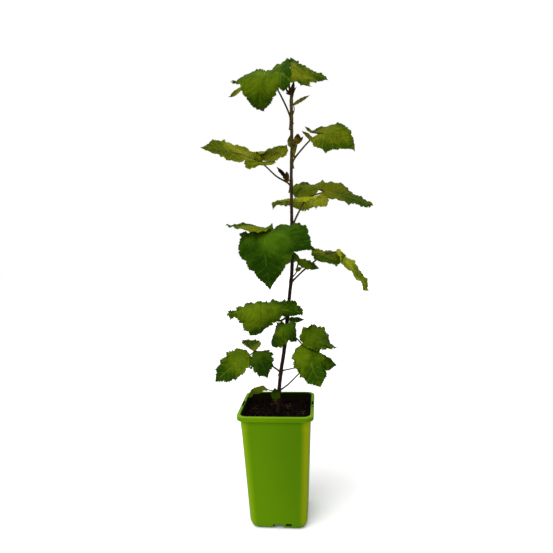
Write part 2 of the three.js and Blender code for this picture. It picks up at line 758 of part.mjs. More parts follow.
    blades: [
      {
        kind: 'ovate', lobes: 0, width: 0.31, at: [42.5, -3.0, 723.2], length: 31,
        turn: -12, dip: -25, roll: 95, left: [30, 0, 0, 1.0], right: [30, 0, 0, 1.0],
        bend: 0, droop: 18, back: 20, twist: 0, wave: 0.015,
      },
    ],
  },
  {
    name: 'shoot_upper',
    colour: '#7b5a33',
    root: 637.5,
    stalkRadius: 1.2,
    stalk: [[42.6, -3.0, 645.0], [46.9, -4.0, 658.5]],
    blades: [
      {
        kind: 'ovate', lobes: 0, width: 0.95, at: [46.6, -4.0, 659.2], length: 17,
        turn: -125, dip: -87, roll: -165, left: [34, 0, 0, 1.0], right: [34, 0, 0, 1.0],
        bend: 0, droop: 28, back: 20, twist: 0, wave: 0.015,
      },
      {
        kind: 'ovate', lobes: 0, width: 0.8, at: [47.3, -4.0, 658.8], length: 18,
        turn: -33, dip: -72, roll: 150, left: [32, 0, 0, 1.0], right: [32, 0, 0, 1.0],
        bend: 0, droop: 38, back: 20, twist: 0, wave: 0.015,
      },
      {
        kind: 'ovate', lobes: 0, width: 0.75, at: [47.7, -5.0, 659.9], length: 14,
        turn: -28, dip: -33, roll: 130, left: [28, 0, 0, 1.0], right: [28, 0, 0, 1.0],
        bend: 0, droop: 25, back: 20, twist: 0, wave: 0.015,
      },
      {
        kind: 'ovate', lobes: 0, width: 0.3, at: [40.8, -4.0, 636.6], length: 31,
        turn: -58, dip: -79, roll: 150, left: [40, 0, 0, 1.0], right: [40, 0, 0, 1.0],
        bend: 0, droop: -6, back: 20, twist: 0, wave: 0.015,
      },
    ],
  },
  {
    name: 'leaf_pale_small',
    colour: '#8b9350',
    root: 643.9,
    stalkRadius: 1.0,
    stalk: [[38.1, 7.0, 650.4], [36.5, 10.0, 656.1]],
    blades: [
      {
        kind: 'ovate', lobes: 0, width: 0.95, at: [36.5, 10.0, 656.1], length: 22,
        turn: 133, dip: -80, roll: -40, left: [25, 0, 0, 1.0], right: [25, 0, 0, 1.0],
        bend: 0, droop: 15, back: 20, twist: 0, wave: 0.015,
      },
    ],
  },
  {
    name: 'shoot_left',
    colour: '#5b3d2a',
    root: 596.9,
    stalkRadius: 1.2,
    stalk: [[29.1, -6.5, 596.6]],
    blades: [
      {
        kind: 'ovate', lobes: 0, width: 0.42, at: [28.0, -6.0, 598.4], length: 29,
        turn: -167, dip: -55, roll: -80, left: [35, 0, 0, 1.0], right: [35, 0, 0, 1.0],
        bend: 0, droop: 12, back: 20, twist: 0, wave: 0.015,
      },
      {
        kind: 'ovate', lobes: 0, width: 0.74, at: [28.3, -7.0, 595.6], length: 19,
        turn: -121, dip: -90, roll: -145, left: [32, 0, 0, 1.0], right: [32, 0, 0, 1.0],
        bend: 0, droop: 22, back: 20, twist: 0, wave: 0.015,
      },
      {
        kind: 'ovate', lobes: 0, width: 0.6, at: [27.5, -8.0, 596.5], length: 17,
        turn: -134, dip: -62, roll: -130, left: [30, 0, 0, 1.0], right: [30, 0, 0, 1.0],
        bend: 0, droop: 25, back: 20, twist: 0, wave: 0.015,
      },
    ],
  },
];

const TIP_SHOOT = {
  name: 'tip_shoot',
  colour: '#4a2c22',
  spears: [
    [-30, -78, 23, 125],
    [-140, -35, 17, -125],
    [-32, -45, 16, 125],
    [126, -70, 22, -40],
    [61, -44, 17, 60],
    [157, -27, 14, -95],
  ],
};

// Assembly

const group = new THREE.Group();

function addPart(name, body, colour, roughness) {
  const material = new THREE.MeshStandardMaterial({ color: colour, roughness, metalness: 0 });
  const mesh = new THREE.Mesh(geometryOf(body), material);
  mesh.name = name;
  group.add(mesh);
}

// One leaf: stalk, short branches to its blades, and the blades, cut clear of the cane.
function leafSolid(leaf) {
  const points = leaf.stalk.map((p) => new THREE.Vector3(...p));
  const path = new THREE.CatmullRomCurve3([caneAxisAt(leaf.root), ...points]);
  const taper = (along) => leaf.stalkRadius * (1.15 - 0.4 * along);
  let body = stalk(path, taper, STALK_SIDES, 2 * points.length + 1);
  const hub = points[points.length - 1];
  for (const blade of leaf.blades) {
    const foot = new THREE.Vector3(...blade.at);
    body = body.add(bladeSolid(blade));
    if (foot.distanceTo(hub) > 0.6 && foot.distanceTo(hub) < 30) {
      const twig = new THREE.LineCurve3(hub, foot);
      body = body.add(stalk(twig, () => leaf.stalkRadius * 0.75, STALK_SIDES, 1));
    }
  }
  return body.subtract(caneRoom);
}

// Young folded leaves that stand round the cane's end, on a short bud.
function tipShoot(shoot) {
  const end = canePath.getPointAt(1);
  const foot = end.clone().add(new THREE.Vector3(0, 0, CLEAR));
  const crown = end.clone().add(new THREE.Vector3(0, 0, 5));
  let body = stalk(new THREE.LineCurve3(foot, crown), () => CANE_TIP_RADIUS, STALK_SIDES, 1);
  for (const [turn, dip, length, roll] of shoot.spears) {
    body = body.add(bladeSolid({
      kind: 'ovate', lobes: 0, width: 0.42, at: [end.x, end.y, end.z + 2], length,
      turn, dip, roll, left: [38, 0, 0, 1], right: [38, 0, 0, 1],
      bend: 0, droop: 12, back: 20, twist: 0, wave: 0,
    }));
  }
  return body;
}

addPart('pot', potBody, '#5d8c0a', 0.42);
addPart('compost', compost(), '#2a1d14', 0.95);
addPart('cane', cane, '#3a2420', 0.7);
for (const leaf of LEAVES) {
  addPart(leaf.name, leafSolid(leaf), leaf.colour, 0.6);
}
addPart(TIP_SHOOT.name, tipShoot(TIP_SHOOT), TIP_SHOOT.colour, 0.6);

export default group;
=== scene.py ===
import math
import random

import bmesh
import bpy
from mathutils import Euler, Matrix, Vector, geometry, noise


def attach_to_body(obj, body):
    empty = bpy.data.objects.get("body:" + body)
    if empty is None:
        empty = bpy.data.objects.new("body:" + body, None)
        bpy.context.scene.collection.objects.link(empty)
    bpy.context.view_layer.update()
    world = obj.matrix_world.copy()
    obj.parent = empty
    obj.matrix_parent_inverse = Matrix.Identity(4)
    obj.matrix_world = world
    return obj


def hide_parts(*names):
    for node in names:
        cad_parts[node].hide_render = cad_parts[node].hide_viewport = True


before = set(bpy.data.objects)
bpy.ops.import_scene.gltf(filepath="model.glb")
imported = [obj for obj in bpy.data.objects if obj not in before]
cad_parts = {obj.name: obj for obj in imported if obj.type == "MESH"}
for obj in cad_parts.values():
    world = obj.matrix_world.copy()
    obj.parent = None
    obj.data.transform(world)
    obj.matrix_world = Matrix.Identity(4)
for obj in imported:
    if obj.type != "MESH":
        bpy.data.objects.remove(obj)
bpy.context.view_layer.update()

MM = 0.001


# Square pot
# A tapered nursery pot of thin lime-green polypropylene, injection moulded in one piece.
# Its rim turns out in a ledge and down in a short skirt; channels and drain holes are in its foot.

POT_HEIGHT = 205 * MM
RIM_HALF = 65 * MM
RIM_CORNER = 16 * MM
SKIRT_DEPTH = 8 * MM
WALL = 1.3 * MM
BODY_TOP_HALF = 60.3 * MM
BODY_LOW_HALF = 50.25 * MM
BODY_LOW_LEVEL = 14.35 * MM
BODY_CORNER = 14 * MM
FOOT_HALF = 41.5 * MM
FOOT_CORNER = 12 * MM
CHANNEL_WIDTH = 18 * MM
CHANNEL_HEIGHT = 9.5 * MM
PAD_HALF = 22 * MM
DRAIN_SIZE = (9 * MM, 10 * MM, 5.5 * MM)
DRAIN_LEVEL = 8.6 * MM
DRAIN_OFFSET = 18 * MM
SLOT_SIZE = (3.2 * MM, 27 * MM, 6 * MM)
STEP_LEVEL = 178 * MM
STEP_IN = 0.35 * MM
RIB_THICKNESS = 1.2 * MM
CORNER_STEPS = 9


class Mix:
    """A socket of a finish that is being mixed, with arithmetic on its values."""

    def __init__(self, tree, socket=None):
        self.tree = tree
        self.socket = socket

    def node(self, kind, settings=(), sockets=(), out=0):
        """Adds a node of that kind: its settings first, then its sockets' values or links."""
        made = self.tree.nodes.new(kind)
        for name, value in dict(settings).items():
            setattr(made, name, value)
        for name, value in dict(sockets).items():
            if isinstance(value, Mix):
                self.tree.links.new(value.socket, made.inputs[name])
            else:
                made.inputs[name].default_value = value
        return Mix(self.tree, made.outputs[out] if made.outputs else None)

    def maths(self, operation, first, second=0.0):
        return self.node("ShaderNodeMath", {"operation": operation}, {0: first, 1: second})

    def __add__(self, other):
        return self.maths("ADD", self, other)

    def __radd__(self, other):
        return self.maths("ADD", other, self)

    def __sub__(self, other):
        return self.maths("SUBTRACT", self, other)

    def __rsub__(self, other):
        return self.maths("SUBTRACT", other, self)

    def __mul__(self, other):
        return self.maths("MULTIPLY", self, other)

    def __rmul__(self, other):
        return self.maths("MULTIPLY", other, self)

    def __abs__(self):
        return self.maths("ABSOLUTE", self)

    def share(self, low, high):
        """Goes smoothly from 0 to 1 as the value goes from low to high."""
        return self.node(
            "ShaderNodeMapRange",
            {"interpolation_type": "SMOOTHSTEP"},
            {"Value": self, "From Min": low, "From Max": high},
        )

    def between(self, first, second):
        """Mixes two colours by the value."""
        return self.node("ShaderNodeMix", {"data_type": "RGBA"}, {0: self, 6: first, 7: second}, 2)

    def larger(self, other):
        return self.maths("MAXIMUM", self, other)

    def place(self):
        return self.node("ShaderNodeTexCoord", out=3)

    def parts(self, vector):
        """The three numbers of a place."""
        split = self.node("ShaderNodeSeparateXYZ", {}, {"Vector": vector}).socket.node
        return [Mix(self.tree, part) for part in split.outputs]

    def stretched(self, scale):
        return self.node(
            "ShaderNodeMapping", {"vector_type": "POINT"}, {"Vector": self.place(), "Scale": scale}
        )

    def clouds(self, scale, detail=2.0, roughness=0.5, place=None):
        return self.node(
            "ShaderNodeTexNoise",
            {"noise_dimensions": "3D"},
            {"Vector": place or self.place(), "Scale": scale, "Detail": detail, "Roughness": roughness},
        )

    def cells(self, scale, feature, place=None):
        return self.node(
            "ShaderNodeTexVoronoi",
            {"voronoi_dimensions": "3D", "feature": feature},
            {"Vector": place or self.place(), "Scale": scale},
        )


def tone(red, green, blue):
    """A colour as a screen shows it, from 0 to 255, as light."""
    light = [((c / 255 + 0.055) / 1.055) ** 2.4 if c > 10 else c / 255 / 12.92 for c in (red, green, blue)]
    return (*light, 1.0)


def finish(name, mixed, **sockets):
    """A material: mixed(mix) gives its colour, roughness and relief in metres."""
    material = bpy.data.materials.new(name)
    material.use_nodes = True
    material.node_tree.nodes.clear()
    mix = Mix(material.node_tree)
    colour, roughness, relief = mixed(mix)
    normal = mix.node("ShaderNodeBump", {}, {"Height": relief, "Distance": 1.0, "Strength": 1.0})
    values = {"Base Color": colour, "Roughness": roughness, "Normal": normal, **sockets}
    shader = mix.node("ShaderNodeBsdfPrincipled", {}, values)
    mix.node("ShaderNodeOutputMaterial", {}, {"Surface": shader})
    return material


def spun(profile, turns):
    """A skin spun about Z from (reach, height) points. Each point keeps its place in the profile."""
    bm = bmesh.new()
    row = bm.verts.layers.int.new("row")
    line = [bm.verts.new((reach, 0, height)) for reach, height in profile]
    for i, point in enumerate(line):
        point[row] = i
    edges = [bm.edges.new(pair) for pair in zip(line, line[1:])]
    bmesh.ops.spin(
        bm, geom=line + edges, cent=(0, 0, 0), axis=(0, 0, 1), angle=math.tau, steps=turns, use_merge=True
    )
    bmesh.ops.remove_doubles(bm, verts=bm.verts, dist=1e-8)
    bmesh.ops.recalc_face_normals(bm, faces=bm.faces)
    return bm, row


def turn_of(point, turns):
    return round(math.atan2(point.y, point.x) / math.tau * turns) % turns


def square_spun(profile, corner_steps=CORNER_STEPS):
    """A spun skin whose rings are squares with round corners, from (half, corner, height) points."""
    turns = 4 * (corner_steps + 1)
    bm, row = spun([(half, height) for half, corner, height in profile], turns)
    for vert in bm.verts:
        half, corner, height = profile[vert[row]]
        quarter, step = divmod(turn_of(vert.co, turns), corner_steps + 1)
        angle = (quarter + step / corner_steps) * math.pi / 2
        flat = max(half - corner, 0)
        corner = min(corner, half)
        vert.co.x = (flat if quarter in (0, 3) else -flat) + corner * math.cos(angle)
        vert.co.y = (flat if quarter in (0, 1) else -flat) + corner * math.sin(angle)
    return bm


def made(name, bm, materials=()):
    mesh = bpy.data.meshes.new(name)
    bm.to_mesh(mesh)
    bm.free()
    thing = bpy.data.objects.new(name, mesh)
    bpy.context.scene.collection.objects.link(thing)
    for material in materials:
        mesh.materials.append(material)
    return thing


def settled(thing):
    """The mesh of a thing with its modifiers applied."""
    bpy.context.view_layer.update()
    result = bpy.data.meshes.new_from_object(thing.evaluated_get(bpy.context.evaluated_depsgraph_get()))
    thing.modifiers.clear()
    thing.data = result
    return thing


def cut(thing, tool, operation="DIFFERENCE"):
    """Takes a tool's shape out of a thing, or adds it, and puts the tool away."""
    modifier = thing.modifiers.new("cut", "BOOLEAN")
    modifier.object = tool
    modifier.operation = operation
    modifier.solver = "MANIFOLD"
    settled(thing)
    bpy.data.objects.remove(tool)


def block(bm, middle, size, quarters=0):
    around = Matrix.Rotation(quarters * math.pi / 2, 4, "Z")
    place = around @ Matrix.Translation(middle) @ Matrix.Diagonal((*size, 1))
    bmesh.ops.create_cube(bm, size=1, matrix=place)


def smoothed(thing, degrees):
    thing.data.shade_smooth()
    thing.data.set_sharp_from_angle(angle=math.radians(degrees))


def attach(thing, slot, *nodes):
    """Sets a finished piece on the plant's one body, in place of its CAD nodes."""
    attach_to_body(thing, "root")
    if nodes:
        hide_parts(*nodes)


def body_half(level):
    widening = (BODY_TOP_HALF - BODY_LOW_HALF) * (level - BODY_LOW_LEVEL)
    return BODY_LOW_HALF + widening / (POT_HEIGHT - BODY_LOW_LEVEL)


def pot_skin():
    under_ledge = POT_HEIGHT - WALL
    skirt_foot = POT_HEIGHT - SKIRT_DEPTH
    step = STEP_LEVEL
    profile = [
        (0, 0, 0),
        (FOOT_HALF, FOOT_CORNER, 0),
        (FOOT_HALF + 3.4 * MM, FOOT_CORNER + 1 * MM, 1.6 * MM),
        (FOOT_HALF + 5 * MM, FOOT_CORNER + 1 * MM, 3.1 * MM),
        (FOOT_HALF + 6 * MM, FOOT_CORNER + 1 * MM, 4.8 * MM),
        (FOOT_HALF + 7.8 * MM, FOOT_CORNER + 1.5 * MM, 9.4 * MM),
        (BODY_LOW_HALF, BODY_CORNER, BODY_LOW_LEVEL),
        (body_half(step) - STEP_IN, BODY_CORNER, step),
        (body_half(step), BODY_CORNER, step + 0.6 * MM),
        (body_half(under_ledge) - 0.2 * MM, BODY_CORNER, under_ledge - 0.8 * MM),
        (body_half(under_ledge) + 0.6 * MM, BODY_CORNER, under_ledge),
        (RIM_HALF - WALL, RIM_CORNER - WALL, under_ledge),
        (RIM_HALF - WALL, RIM_CORNER - WALL, skirt_foot + 0.2 * MM),
        (RIM_HALF - WALL + 0.3 * MM, RIM_CORNER - WALL, skirt_foot),
        (RIM_HALF - 0.3 * MM, RIM_CORNER, skirt_foot),
        (RIM_HALF, RIM_CORNER, skirt_foot + 0.4 * MM),
    ]
    for degrees in (0, 30, 60, 90):
        turn = math.radians(degrees)
        inward = 1 * MM * (1 - math.cos(turn))
        profile.append((RIM_HALF - inward, RIM_CORNER - inward, POT_HEIGHT - 1 * MM * (1 - math.sin(turn))))
    profile.append((0, 0, POT_HEIGHT))
    return made("pot", square_spun(profile))


def pot_hollow():
    top = POT_HEIGHT + 1 * MM
    inner = [
        (0, 0, WALL),
        (FOOT_HALF - 1 * MM, FOOT_CORNER - 1 * MM, WALL),
        (FOOT_HALF + 4.7 * MM, FOOT_CORNER, WALL + 4 * MM),
        (body_half(WALL + 13 * MM) - WALL, BODY_CORNER - WALL, WALL + 13 * MM),
        (body_half(POT_HEIGHT) - WALL - 0.1 * MM, BODY_CORNER - WALL, POT_HEIGHT - 0.9 * MM),
        (body_half(POT_HEIGHT) - WALL + 0.2 * MM, BODY_CORNER - WALL, POT_HEIGHT - 0.25 * MM),
        (body_half(POT_HEIGHT) - WALL + 0.9 * MM, BODY_CORNER - WALL, POT_HEIGHT + 0.05 * MM),
        (body_half(POT_HEIGHT) - WALL + 0.9 * MM, BODY_CORNER - WALL, top),
        (0, 0, top),
    ]
    hollow = made("hollow", square_spun(inner))
    roofs = bmesh.new()
    length = BODY_LOW_HALF - PAD_HALF + 5 * MM
    for side in range(4):
        middle = (PAD_HALF + length / 2, 0, (CHANNEL_HEIGHT + WALL) / 2)
        block(roofs, middle, (length + 2 * WALL, CHANNEL_WIDTH + 2 * WALL, CHANNEL_HEIGHT + WALL), side)
    cut(hollow, made("roofs", roofs))
    return hollow


def pot_openings():
    openings = bmesh.new()
    length = BODY_LOW_HALF - PAD_HALF + 5 * MM
    for side in range(4):
        middle = (PAD_HALF + length / 2, 0, CHANNEL_HEIGHT / 2 - 1 * MM)
        block(openings, middle, (length, CHANNEL_WIDTH, CHANNEL_HEIGHT + 2 * MM), side)
        block(openings, (FOOT_HALF + 5 * MM, DRAIN_OFFSET, DRAIN_LEVEL), DRAIN_SIZE, side)
    middle = (body_half(POT_HEIGHT - WALL) + RIM_HALF - WALL) / 2
    for side in (0, 2):
        block(openings, (middle, 0, POT_HEIGHT), SLOT_SIZE, side)
    return made("openings", openings)


def pot_ribs():
    """Short ribs join the wall to the skirt below each slot in the ledge."""
    ribs = bmesh.new()
    near = body_half(POT_HEIGHT - SKIRT_DEPTH) - WALL / 2
    far = RIM_HALF - WALL / 2
    size = (far - near, RIB_THICKNESS, SKIRT_DEPTH - 1 * MM)
    for side in (0, 2):
        for across in (-15 * MM, 0, 15 * MM):
            block(ribs, ((near + far) / 2, across, POT_HEIGHT - 0.5 * MM - SKIRT_DEPTH / 2), size, side)
    return made("ribs", ribs)


def lime_plastic(mix):
    broad = mix.clouds(9, 2)
    grain = mix.clouds(2600, 2, 0.6)
    streaks = mix.clouds(60, 3, 0.6, mix.stretched((1.0, 1.0, 0.25)))
    sideways, depth, height = mix.parts(mix.place())
    # Painted light: the green is made lighter towards the left side, where the light falls, on top of broad
    # random tone.
    green = (0.5 * broad + 10 * (0.025 - sideways)).share(0.0, 0.8).between(tone(63, 98, 0), tone(73, 109, 0))
    slope = (BODY_TOP_HALF - BODY_LOW_HALF) / (POT_HEIGHT - BODY_LOW_LEVEL)
    half = BODY_LOW_HALF + slope * (height - BODY_LOW_LEVEL)
    # Painted light: the round corners of the body below the rim are lighter, as light glowing through the
    # plastic, and yellower on the right side.
    corner = (abs(sideways) + abs(depth) - 1.8 * half).share(-0.006, 0.0095) * height.share(0.1985, 0.1955)
    pale = sideways.share(-0.03, 0.03).between(tone(124, 150, 0), tone(150, 150, 4))
    lit_corners = (corner * 0.75).between(green, pale)
    # Painted highlight: a pale line along the rounded top of the rim.
    rim_highlight = height.share(0.2040, 0.2048)
    painted_light = (rim_highlight * 0.55).between(lit_corners, tone(112, 146, 18))
    outer = abs(sideways)
    # Painted shade: the space below the slots in the ledge is painted near black, where shadow falls.
    slot_shade = outer.share(0.0588, 0.0597) * outer.share(0.0642, 0.0638) * abs(depth).share(0.0150, 0.0142)
    slot_shade = slot_shade * height.share(0.1978, 0.1995) * height.share(0.2046, 0.2040)
    painted_light = slot_shade.between(painted_light, tone(10, 11, 2))
    splash = mix.clouds(700, 3, 0.65).share(0.62, 0.72) * height.share(0.165, 0.203)
    colour = (splash * 0.35).between(painted_light, tone(44, 38, 14))
    roughness = 0.34 + 0.14 * streaks + 0.2 * splash
    return colour, roughness, 0.00004 * grain + 0.0006 * broad


def shaded_soiled_plastic(mix):
    """The wall's inside, nearly black below the lip: painted shade together with a film of wet peat, thinning
    towards the lip.
    """
    height = mix.parts(mix.place())[2]
    patches = mix.clouds(120, 4, 0.65)
    shade_and_film = (height + 0.004 * (patches - 0.5)).share(0.2056, 0.2034)
    colour = (shade_and_film * 0.97).between(tone(52, 78, 0), tone(11, 7, 0))
    return colour, 0.45 + 0.35 * patches, 0.0003 * patches


pot = pot_skin()
cut(pot, pot_ribs(), "UNION")
cut(pot, pot_hollow())
cut(pot, pot_openings())
pot.data.materials.clear()
pot.data.materials.append(finish("pot_plastic", lime_plastic, **{"Specular IOR Level": 0.015}))
pot.data.materials.append(finish("pot_inside", shaded_soiled_plastic, **{"Specular IOR Level": 0.02}))
# The faces of the wall's inside take the finish with painted shade and the peat film.
for face in pot.data.polygons:
    inward = face.normal.x * face.center.x + face.normal.y * face.center.y < -1e-6
    off_middle = max(abs(face.center.x), abs(face.center.y))
    face.material_index = 1 if inward and off_middle < body_half(POT_HEIGHT) else 0
smoothed(pot, 32)
attach(pot, "pot", "pot")


# Compost
# A dark peat mix that fills the pot to a finger's width below its rim. Its top is a low, crumbly
# bed, and loose crumbs, bark fibres and a few straws lie on it.

SOIL_LEVEL = 190 * MM
CLEAR = 0.3 * MM
BED_TURNS = 132
BED_RINGS = 34
CRUMBS = 760
FIBRES = 130


def inner_half(level):
    return body_half(level) - WALL


def square_reach(angle, half, corner):
    """How far a square with round corners reaches from its middle at an angle."""
    across, along = abs(math.cos(angle)), abs(math.sin(angle))
    reach = half / max(across, along)
    flat = half - corner
    if min(across, along) * reach > flat:
        middle = flat * (across + along)
        reach = middle + math.sqrt(max(middle * middle - 2 * flat * flat + corner * corner, 0))
    return reach


def bed_level(x, y):
    """The height of the compost's crumbly top."""
    here = Vector((x, y, 0.3))
    lumps = noise.fractal(here * 62, 0.9, 2.1, 5) * 2.1 * MM
    hollow = 1.6 * MM * max(0, 1 - (x * x + y * y) ** 0.5 / 0.02)
    return SOIL_LEVEL + lumps - hollow


def bed():
    bottom = CHANNEL_HEIGHT + WALL + CLEAR
    side = [
        (0, 0, bottom),
        (FOOT_HALF + 4 * MM, FOOT_CORNER, bottom),
        (inner_half(bottom + 10 * MM) - 0.5 * MM, BODY_CORNER - WALL, bottom + 10 * MM),
        (inner_half(SOIL_LEVEL) - CLEAR, BODY_CORNER - WALL, SOIL_LEVEL - 3.5 * MM),
    ]
    edge = inner_half(SOIL_LEVEL) - CLEAR
    rings = [(edge * (1 - i / BED_RINGS), i) for i in range(1, BED_RINGS + 1)]
    profile = [(half, level) for half, _, level in side] + [(r, SOIL_LEVEL) for r, _ in rings]
    bm, row = spun(profile, BED_TURNS)
    for vert in bm.verts:
        angle = math.atan2(vert.co.y, vert.co.x)
        if vert[row] < len(side):
            half, corner, level = side[vert[row]]
            reach = square_reach(angle, half, corner) if half else 0
        else:
            share = 1 - rings[vert[row] - len(side)][1] / BED_RINGS
            reach = share * square_reach(angle, edge, BODY_CORNER - WALL)
            level = bed_level(reach * math.cos(angle), reach * math.sin(angle))
        vert.co = (reach * math.cos(angle), reach * math.sin(angle), level)
    return bm


def crumbs():
    rng = random.Random(11)
    bm = bmesh.new()
    edge = inner_half(SOIL_LEVEL) - 2 * MM
    while len(bm.verts) < CRUMBS * 12:
        x, y = rng.uniform(-edge, edge), rng.uniform(-edge, edge)
        if math.hypot(x, y) > square_reach(math.atan2(y, x), edge, BODY_CORNER):
            continue
        size = rng.uniform(0.5, 1.3) ** 2 * 1.15 * MM
        place = Matrix.Translation((x, y, bed_level(x, y) + size * 0.35))
        turn = Euler([rng.uniform(0, math.tau) for _ in range(3)]).to_matrix().to_4x4()
        shape = Matrix.Diagonal((size, size * rng.uniform(0.6, 1), size * rng.uniform(0.4, 0.9), 1))
        bmesh.ops.create_icosphere(bm, subdivisions=1, radius=1, matrix=place @ turn @ shape)
    return bm


def limb(bm, line, radius_at, sides, material=0):
    """A round limb along a line of points: one ring drawn on from end to end, then closed."""
    neighbours = zip([line[0], *line], [*line[1:], line[-1]])
    headings = [(after - before).normalized() for before, after in neighbours]
    upright = Vector((0, 0, 1)).rotation_difference(headings[0]).to_matrix().to_4x4()
    radius = radius_at(0)
    start = Matrix.Translation(line[0]) @ upright
    ring = bmesh.ops.create_circle(bm, segments=sides, radius=radius, matrix=start)["verts"]
    edges = list({edge for vert in ring for edge in vert.link_edges})
    ends = list(edges)
    faces = []
    for i in range(1, len(line)):
        drawn = bmesh.ops.extrude_edge_only(bm, edges=edges)["geom"]
        verts = [g for g in drawn if isinstance(g, bmesh.types.BMVert)]
        faces += [g for g in drawn if isinstance(g, bmesh.types.BMFace)]
        edges = [g for g in drawn if isinstance(g, bmesh.types.BMEdge) and all(v in verts for v in g.verts)]
        wider = radius_at(i / (len(line) - 1))
        turn = headings[i - 1].rotation_difference(headings[i]).to_matrix().to_4x4()
        onward = Matrix.Translation(line[i]) @ turn @ Matrix.Scale(wider / radius, 4)
        move = onward @ Matrix.Translation(-line[i - 1])
        bmesh.ops.transform(bm, matrix=move, verts=verts)
        radius = wider
    faces += bmesh.ops.holes_fill(bm, edges=ends + edges, sides=0)["faces"]
    bmesh.ops.recalc_face_normals(bm, faces=faces)
    for face in faces:
        face.material_index = material
    return faces


def fibres():
    rng = random.Random(5)
    bm = bmesh.new()
    edge = inner_half(SOIL_LEVEL) - 5 * MM
    for i in range(FIBRES):
        start = Vector((rng.uniform(-edge, edge), rng.uniform(-edge, edge), 0))
        turn = rng.uniform(0, math.tau)
        length = rng.uniform(4, 15) * MM
        line = []
        for k in range(4):
            point = start + Vector((math.cos(turn), math.sin(turn), 0)) * length * k / 3
            turn += rng.uniform(-0.3, 0.3)
            point.x, point.y = (max(-edge, min(edge, c)) for c in point.xy)
            point.z = bed_level(point.x, point.y) + rng.uniform(0.5, 1.6) * MM
            line.append(point)
        thick = rng.uniform(0.22, 0.6) * MM
        limb(bm, line, lambda along: thick * (1 - 0.5 * along), 5, 1 if i % 7 == 0 else 0)
    return bm


def peat(mix):
    broad = mix.clouds(90, 4, 0.6)
    fine = mix.clouds(900, 4, 0.7)
    colour = (broad * fine * 2).share(0.3, 0.8).between(tone(2, 1, 1), tone(16, 9, 6))
    fleck = mix.cells(420, "F1").share(0.12, 0.06)
    return (fleck * 0.35).between(colour, tone(54, 37, 22)), 0.9, 0.0006 * fine + 0.0008 * broad


def bark_fibre(mix):
    streaks = mix.clouds(500, 3, 0.6)
    return streaks.share(0.3, 0.7).between(tone(26, 14, 10), tone(58, 38, 24)), 0.85, 0.0002 * streaks


def straw(mix):
    streaks = mix.clouds(400, 3, 0.6)
    return streaks.share(0.3, 0.7).between(tone(56, 44, 20), tone(102, 84, 42)), 0.7, 0.0002 * streaks


dull = {"Specular IOR Level": 0.025}
peat_finish = finish("compost_peat", peat, **dull)
compost = made("compost", bed(), [peat_finish])
smoothed(compost, 40)
attach(compost, "compost", "compost")
compost_crumbs = made("compost_crumbs", crumbs(), [peat_finish])
attach(compost_crumbs, "compost")
fibre_finishes = [finish("bark_fibre", bark_fibre, **dull), finish("straw", straw, **dull)]
compost_fibres = made("compost_fibres", fibres(), fibre_finishes)
smoothed(compost_fibres, 50)
attach(compost_fibres, "compost")


# Cane
# One tayberry cane of a season's growth, woody and purple at its foot and green higher up. It is
# swollen where each leaf stands, and set all over with fine red bristles.

CANE_PATH = [
    (0, 0, 186), (3, 0, 228), (8.6, 0, 270), (13.7, 0, 298), (26.3, 0, 397), (32.4, 0, 450),
    (34.2, 0, 545), (35.5, 0, 615), (37.6, 0, 660), (38, 0, 700), (38.9, 0, 738),
]
CANE_FOOT_RADIUS = 4.8 * MM
CANE_LOW_RADIUS = 3.5 * MM
CANE_TIP_RADIUS = 2.2 * MM
FLARE_LENGTH = 0.03
SHEATH = 0.5 * MM
SHEATH_START = 0.84
KNUCKLES = (204, 212, 228, 263, 310, 330, 356, 362, 425, 469, 479, 521, 589, 597, 632, 644, 705, 730)
CANE_STEPS = 300
BRISTLES = 900


def smooth_line(points, steps):
    """Points evenly apart on the smooth curve through the given points."""
    knots = [Vector(point) for point in points]
    knots = [2 * knots[0] - knots[1], *knots, 2 * knots[-1] - knots[-2]]
    fine = []
    for before, start, end, after in zip(knots, knots[1:], knots[2:], knots[3:]):
        gaps = ((before, start), (start, end), (end, after))
        d0, d1, d2 = (max((b - a).length, 1e-9) ** 0.5 for a, b in gaps)
        leave = ((start - before) / d0 - (end - before) / (d0 + d1) + (end - start) / d1) * d1
        arrive = ((end - start) / d1 - (after - start) / (d1 + d2) + (after - end) / d2) * d1
        fine += geometry.interpolate_bezier(start, start + leave / 3, end - arrive / 3, end, 40)[:-1]
    fine.append(knots[-2])
    walked = [0.0]
    for a, b in zip(fine, fine[1:]):
        walked.append(walked[-1] + (b - a).length)
    line = []
    place = 0
    for i in range(steps + 1):
        goal = walked[-1] * i / steps
        while place < len(fine) - 2 and walked[place + 1] < goal:
            place += 1
        step = walked[place + 1] - walked[place]
        line.append(fine[place].lerp(fine[place + 1], (goal - walked[place]) / step if step else 0))
    return line


cane_line = smooth_line([Vector(point) * MM for point in CANE_PATH], CANE_STEPS)


def cane_radius(along):
    flare = (CANE_FOOT_RADIUS - CANE_LOW_RADIUS) * max(0, 1 - along / FLARE_LENGTH) ** 2
    level = cane_line[min(round(along * CANE_STEPS), CANE_STEPS)].z / MM
    knuckle = sum(math.exp(-(((level - height) / 4) ** 2)) for height in KNUCKLES)
    swelling = 0.45 * MM * min(knuckle, 1) + SHEATH * min(max(0, along - SHEATH_START) / 0.06, 1)
    return CANE_LOW_RADIUS + (CANE_TIP_RADIUS - CANE_LOW_RADIUS) * along**1.3 + flare + swelling


def cane_wood():
    bm = bmesh.new()
    limb(bm, cane_line, cane_radius, 28)
    bm.normal_update()
    for vert in bm.verts:
        x, y, z = vert.co
        ridge = noise.noise(Vector((x * 900, y * 900, z * 60))) * 0.16 * MM
        vert.co += vert.normal * ridge
    return bm


